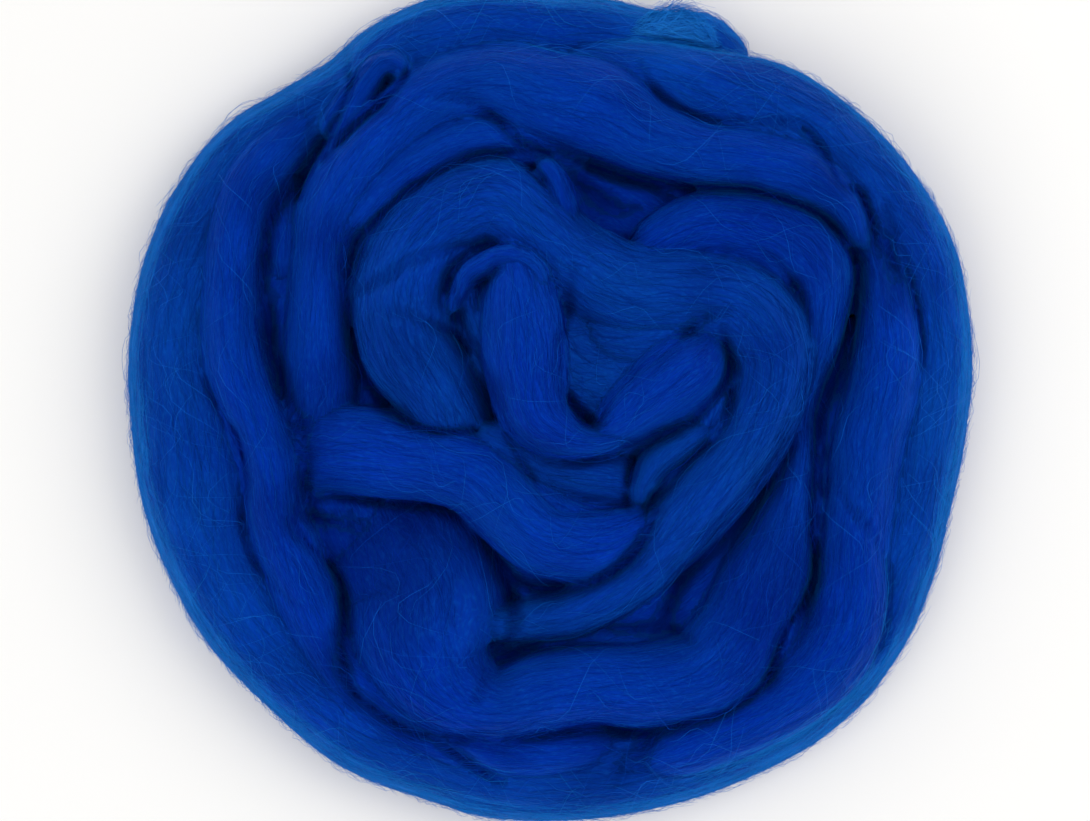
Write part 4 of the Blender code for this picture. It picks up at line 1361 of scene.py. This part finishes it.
def combing_tree():
    """Fibres that follow the strand along its map, lie on the pressed body, and leave it at loose ends."""
    t = Tree("comb_fibres")
    skin = t.takes("Geometry", "Geometry")
    pressed_body = t.takes("Body", "Object")
    density = t.takes("Density", "Float", 200000.0)
    seed = t.takes("Seed", "Int", 1)
    shortest = t.takes("Shortest", "Float", 0.008)
    longest = t.takes("Longest", "Float", 0.022)
    thick = t.takes("Thickness", "Float", 0.00018)
    bends = t.takes("Points", "Int", 5)
    lift = t.takes("Lift", "Float", 0.0003)
    drift = t.takes("Drift", "Float", 0.002)
    free = t.takes("Free Ends", "Float", 0.0)
    buried = t.takes("Buried", "Float", 0.0010)
    rim_only = t.takes("Least Rim", "Float", -1.0)
    paler = t.takes("Paler", "Float", 0.0)
    thin_start = t.takes("Thin Start", "Float", 0.0)
    deep, plain, bright, rim_lit = (t.takes(name, "Material") for name in ("Deep", "Plain", "Bright", "Hazy"))

    cover = t.add("GeometryNodeObjectInfo", {"Object": pressed_body}).outputs["Geometry"]

    def on_body(spot):
        """The nearest place on the pressed body, how deep under it this one is, and the way out there."""
        near = t.add("GeometryNodeProximity", {0: cover, "Source Position": spot}, target_element="FACES")
        out = t.add("GeometryNodeSampleNearestSurface", {0: cover}, data_type="FLOAT_VECTOR")
        t.feed(out.inputs["Value"], t.add("GeometryNodeInputNormal").outputs[0])
        t.feed(out.inputs["Sample Position"], spot)
        outward = t.vector("NORMALIZE", out.outputs["Value"])
        down_to = t.vector("SUBTRACT", near.outputs["Position"], spot)
        under = t.add("ShaderNodeVectorMath", {0: down_to, 1: outward}, operation="DOT_PRODUCT")
        return near.outputs["Position"], under.outputs["Value"], outward

    scatter = t.add("GeometryNodeDistributePointsOnFaces", {"Mesh": skin, "Density": density, "Seed": seed})
    points = scatter.outputs["Points"]
    place_now, under, outward = on_body(t.add("GeometryNodeInputPosition").outputs[0])
    clear_of = t.vector("ADD", place_now, t.times(outward, ABOVE_BODY))

    def covered(direction):
        return t.add("GeometryNodeRaycast", {
            "Target Geometry": cover, "Source Position": clear_of,
            "Ray Direction": direction, "Ray Length": COVER_REACH,
        }).outputs["Is Hit"]

    # A place is covered when it can be seen neither from nearly straight above nor from straight out.
    from_above = covered(t.vector("ADD", t.times(outward, 0.15), (0, 0, 1)))
    from_beside = covered(t.vector("ADD", outward, (0, 0, 0.3)))
    hidden = t.maths("MULTIPLY", from_above, from_beside)
    hidden = t.maths("MAXIMUM", hidden, t.maths("GREATER_THAN", under, buried))
    hidden = t.maths("MAXIMUM", hidden, t.maths("LESS_THAN", under, -FARTHEST_OFF))
    hidden = t.maths("MAXIMUM", hidden, t.maths("LESS_THAN", t.parts(outward)[2], FACING_DOWN))

    def of_body(name):
        node = t.add("GeometryNodeSampleNearestSurface", {0: cover}, data_type="FLOAT")
        t.feed(node.inputs["Value"], t.stored(name))
        return node.outputs["Value"]

    openness, rim, dye = of_body("open"), of_body("rim"), of_body("dye")
    hidden = t.maths("MAXIMUM", hidden, t.maths("LESS_THAN", openness, OPEN_ENOUGH))
    hidden = t.maths("MAXIMUM", hidden, t.maths("LESS_THAN", rim, rim_only))

    def chance(low, high, number):
        return t.add("FunctionNodeRandomValue", {2: low, 3: high, "Seed": t.maths("ADD", seed, number)},
                     data_type="FLOAT").outputs[1]

    map_spot = t.parts(t.stored("Strand", "FLOAT_VECTOR"))
    thinned = t.maths("LESS_THAN", map_spot[0], t.maths("MULTIPLY", chance(0.0, 1.0, 8), thin_start))
    hidden = t.maths("MAXIMUM", hidden, thinned)
    points = t.add("GeometryNodeDeleteGeometry", {0: points, "Selection": hidden}).outputs[0]

    # A fibre's tone is its own chance, the dye and painted shade of the patches where it lies, and a painted
    # shade where the skin is less open.
    dyed_and_shaded = t.maths("MULTIPLY_ADD", dye, DYE_AND_SHADE_ON_FIBRES, t.maths("ADD", chance(0.0, 1.0, 4), paler))
    painted_shade_shift = t.maths("SUBTRACT", openness, PLAIN_OPENNESS)
    points, own = t.keep(
        points,
        start=map_spot[0],
        round=map_spot[1],
        total=t.stored("run_length"),
        long=chance(shortest, longest, 1),
        slant=chance(-1.0, 1.0, 2),
        rise=t.maths("POWER", chance(0.0, 1.0, 3), 2.0),
        tone=t.maths("ADD", dyed_and_shaded, t.maths("MULTIPLY", painted_shade_shift, PAINTED_SHADE_ON_FIBRES)),
        rim=t.maths("ADD", rim, chance(-RIM_BREAKS, RIM_BREAKS, 7)),
        loose=t.maths("LESS_THAN", chance(0.0, 1.0, 5), free),
        wave=chance(0.0, tau, 6),
    )
    fibre = t.add("GeometryNodeCurvePrimitiveLine").outputs[0]
    fibre = t.add("GeometryNodeResampleCurve", {0: fibre, "Count": bends}).outputs[0]
    fibres = t.add("GeometryNodeInstanceOnPoints", {"Points": points, "Instance": fibre}).outputs[0]
    fibres = t.add("GeometryNodeRealizeInstances", {0: fibres}).outputs[0]
    fibres, way = t.keep(fibres, t=t.add("GeometryNodeSplineParameter").outputs["Factor"])
    way = way["t"]

    middle = t.maths("SUBTRACT", way, 0.5)
    along = t.maths("MULTIPLY_ADD", middle, own["long"], own["start"])
    along = t.maths("MAXIMUM", along, END_MARGIN)
    along = t.maths("MINIMUM", along, t.maths("SUBTRACT", own["total"], END_MARGIN))
    sway = t.maths("SINE", t.maths("MULTIPLY_ADD", way, SWAYS, own["wave"]))
    aslant = t.maths("MULTIPLY", middle, t.maths("MULTIPLY", own["slant"], 2.0))
    sway = t.maths("ADD", t.maths("MULTIPLY", sway, SWAY), aslant)
    turned = t.maths("MULTIPLY_ADD", sway, drift, own["round"])
    strip = t.maths("MULTIPLY", t.maths("FLOOR", t.maths("DIVIDE", own["round"], HOUSE)), HOUSE)
    turned = t.maths("MAXIMUM", turned, t.maths("ADD", strip, SEAM_MARGIN))
    turned = t.maths("MINIMUM", turned, t.maths("ADD", strip, GIRTH_ON_MAP - SEAM_MARGIN))
    here = t.xyz(along, turned)
    uv = t.stored("Strand", "FLOAT_VECTOR")

    def on_skin(value):
        node = t.add("GeometryNodeSampleUVSurface", data_type="FLOAT_VECTOR")
        t.feed(node.inputs["Mesh"], skin)
        t.feed(node.inputs["Value"], value)
        t.feed(node.inputs["UV Map"], uv)
        t.feed(node.inputs["Sample UV"], here)
        return node.outputs["Value"], node.outputs["Is Valid"]

    spot, known = on_skin(t.add("GeometryNodeInputPosition").outputs[0])
    spot, under, out = on_body(spot)
    arch = t.maths("SINE", t.maths("MULTIPLY", way, tau / 2))
    flick = t.maths("POWER", way, FLICK)
    bow = t.maths("ADD", t.maths("MULTIPLY", arch, t.maths("SUBTRACT", 1.0, own["loose"])),
                  t.maths("MULTIPLY", flick, own["loose"]))
    high = t.maths("MULTIPLY", t.maths("MULTIPLY", lift, own["rise"]), bow)
    at = t.vector("ADD", spot, t.times(out, high))
    x, y, z = t.parts(at)
    at = t.xyz(x, y, t.maths("MAXIMUM", z, OFF_TABLE))
    lost = t.maths("MAXIMUM", t.maths("SUBTRACT", 1.0, known),
                   t.maths("GREATER_THAN", under, t.maths("MULTIPLY", buried, 1.8)))
    fibres, fate = t.keep(fibres, lost=lost)
    fibres = t.add("GeometryNodeSetPosition", {0: fibres, "Position": at}).outputs[0]
    fibres = t.add("GeometryNodeDeleteGeometry", {0: fibres, "Selection": fate["lost"]}).outputs[0]

    round_section = t.add("GeometryNodeCurvePrimitiveCircle", {"Resolution": 3, "Radius": 1.0}).outputs[0]
    taper = t.maths("MULTIPLY_ADD", arch, 1 - TIP_SHARE, TIP_SHARE)
    radius = t.maths("MULTIPLY", thick, t.maths("MULTIPLY_ADD", own["rise"], 0.2, 0.4))
    hair = t.add("GeometryNodeCurveToMesh", {
        "Curve": fibres, "Profile Curve": round_section,
        "Scale": t.maths("MULTIPLY", radius, taper), "Fill Caps": True,
    }).outputs[0]
    hair = t.add("GeometryNodeRemoveAttribute", {0: hair, "Name": "*"}, pattern_mode="WILDCARD").outputs[0]
    hair = t.add("GeometryNodeSetShadeSmooth", {0: hair}).outputs[0]
    hair = t.add("GeometryNodeRealizeInstances", {0: hair}).outputs[0]
    hair = t.add("GeometryNodeSetMaterial", {0: hair, "Material": plain}).outputs[0]
    pale = t.maths("GREATER_THAN", own["tone"], PALE_ABOVE)
    dark = t.maths("LESS_THAN", own["tone"], DEEP_BELOW)
    hair = t.add("GeometryNodeSetMaterial", {0: hair, "Selection": pale, "Material": bright}).outputs[0]
    hair = t.add("GeometryNodeSetMaterial", {0: hair, "Selection": dark, "Material": deep}).outputs[0]
    # Round the rim the fibres take a painted rim light.
    outermost = t.maths("GREATER_THAN", own["rim"], RIM_LIT_ABOVE)
    hair = t.add("GeometryNodeSetMaterial", {0: hair, "Selection": outermost, "Material": rim_lit}).outputs[0]
    t.gives("Geometry", "Geometry", hair)
    return t


comb_fibres = combing_tree()
print(len(comb_fibres.tree.nodes), "nodes comb the fibres")


# %% [markdown]
# No two fibres are the same blue. Each takes one of three shades by its own chance, by the dye and painted
# shade of the patches where it lies, and by a painted shade that deepens it where the skin lies less open;
# the turns that are veiled with loose fibres have duller shades, and round the rim, where light comes
# through, they all take the pale colour of a painted rim light.


# %% Dyed fibres
def fibre(name, colour):
    """One shade of dyed fibre, with the soft shine of wool's scales."""
    material = bpy.data.materials.new(name)
    material.use_nodes = True
    shader = material.node_tree.nodes["Principled BSDF"]
    shader.inputs["Base Color"].default_value = (*colour, 1)
    shader.inputs["Roughness"].default_value = 0.55
    shader.inputs["Specular IOR Level"].default_value = 0.3
    shader.inputs["Specular Tint"].default_value = DYE_SHINE
    shader.inputs["Sheen Weight"].default_value = 0.15
    shader.inputs["Sheen Tint"].default_value = DYE_SHINE
    return material


SHADES = {
    "Deep": fibre("deep_fibre", (0.0003, 0.0140, 0.27)),
    "Plain": fibre("royal_fibre", (0.0006, 0.0255, 0.385)),
    "Bright": fibre("bright_fibre", (0.0013, 0.0530, 0.45)),
    # A painted rim light: the pale fibres round the rim.
    "Hazy": fibre("haze_fibre", (0.0050, 0.170, 0.60)),
}
VEILED_SHADES = {
    "Deep": fibre("slate_fibre", (0.0005, 0.0170, 0.215)),
    "Plain": fibre("azure_fibre", (0.0009, 0.0290, 0.31)),
    "Bright": fibre("pale_azure_fibre", (0.0017, 0.0600, 0.39)),
}
LOOSE_SHADES = {
    "Deep": SHADES["Plain"],
    "Plain": SHADES["Bright"],
    "Bright": fibre("loose_fibre", (0.0060, 0.120, 0.60)),
}

# %% [markdown]
# Four kinds of fibre grow on the strand. The combed ones lie close and cover it. Strays wander off at an
# angle, with one end free. The fringe is short and stands along the outer edge, and the tuft is the frayed
# end of the roving, where the fibres were pulled apart by hand.

# %% The fibres are combed
FRINGE_SEED, TUFT_SEED = 777, 888
FRINGE_DENSITY, TUFT_DENSITY = 440000, 4000000
COMBED = {
    "Shortest": 0.008, "Longest": 0.022, "Thickness": 0.00012, "Points": 5,
    "Lift": 0.0004, "Drift": 0.0014, "Free Ends": 0.1,
}
STRAY = {
    "Shortest": 0.010, "Longest": 0.030, "Thickness": 0.00011, "Points": 8,
    "Lift": 0.0030, "Drift": 0.012, "Free Ends": 0.55, "Paler": 0.25, **LOOSE_SHADES,
}
FRINGE = {
    "Shortest": 0.004, "Longest": 0.010, "Thickness": 0.00008, "Points": 4,
    "Lift": 0.0022, "Drift": 0.005, "Free Ends": 0.7, "Least Rim": 0.25,
}
# Painted light for the tuft, which its own dense fibres would otherwise leave in shade.
TUFT_LIGHT = fibre("wisp_fibre", (0.0180, 0.280, 0.860))
TUFT = {
    "Shortest": 0.007, "Longest": 0.020, "Thickness": 0.00011, "Points": 6,
    "Lift": 0.0070, "Drift": 0.009, "Free Ends": 0.85, "Paler": 0.5, "Thin Start": 0.022,
    "Plain": TUFT_LIGHT, "Bright": TUFT_LIGHT,
}
FIBRES = {  # how many to the square metre, combed and stray
    "outside_turn": (220000, 30000),
    "side_turns": (262000, 14000),
    "upper_folds": (262000, 14000),
    "lower_folds": (262000, 14000),
    "heart": (262000, 14000),
    "tongue": (300000, 16000),
    "loose_end": (500000, 30000),
}


def comb(name, source, seed, density, values):
    """A piece of fibres on one laid piece of the strand."""
    obj = bpy.data.objects.new(name, source.data)
    bpy.context.scene.collection.objects.link(obj)
    return grow(obj, comb_fibres, {"Body": body, "Density": float(density), "Seed": seed, **SHADES, **values})


fuzz = []
for seed, (name, (combed, stray)) in enumerate(FIBRES.items()):
    shades = VEILED_SHADES if VEIL[name] > 0.5 else {}
    fuzz.append(comb(name + "_fibres", laid[name], 10 * seed + 3, combed, {**COMBED, **shades}))
    fuzz.append(comb(name + "_strays", laid[name], 10 * seed + 103, stray, STRAY))
fuzz.append(comb("outside_turn_fringe", laid["outside_turn"], FRINGE_SEED, FRINGE_DENSITY, FRINGE))
fuzz.append(comb("loose_end_tuft", laid["loose_end"], TUFT_SEED, TUFT_DENSITY, TUFT))
for piece in fuzz:
    print(piece.name, triangles(piece), "triangles")

# %% [markdown]
# ## Telling the frame
#
# Every piece stands for the one imported solid and rests with it.

# %% Riding on the frame
for run in laid.values():
    bpy.data.objects.remove(run)
for piece in [body, *fuzz]:
    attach(piece, "root")
    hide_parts(NODE)
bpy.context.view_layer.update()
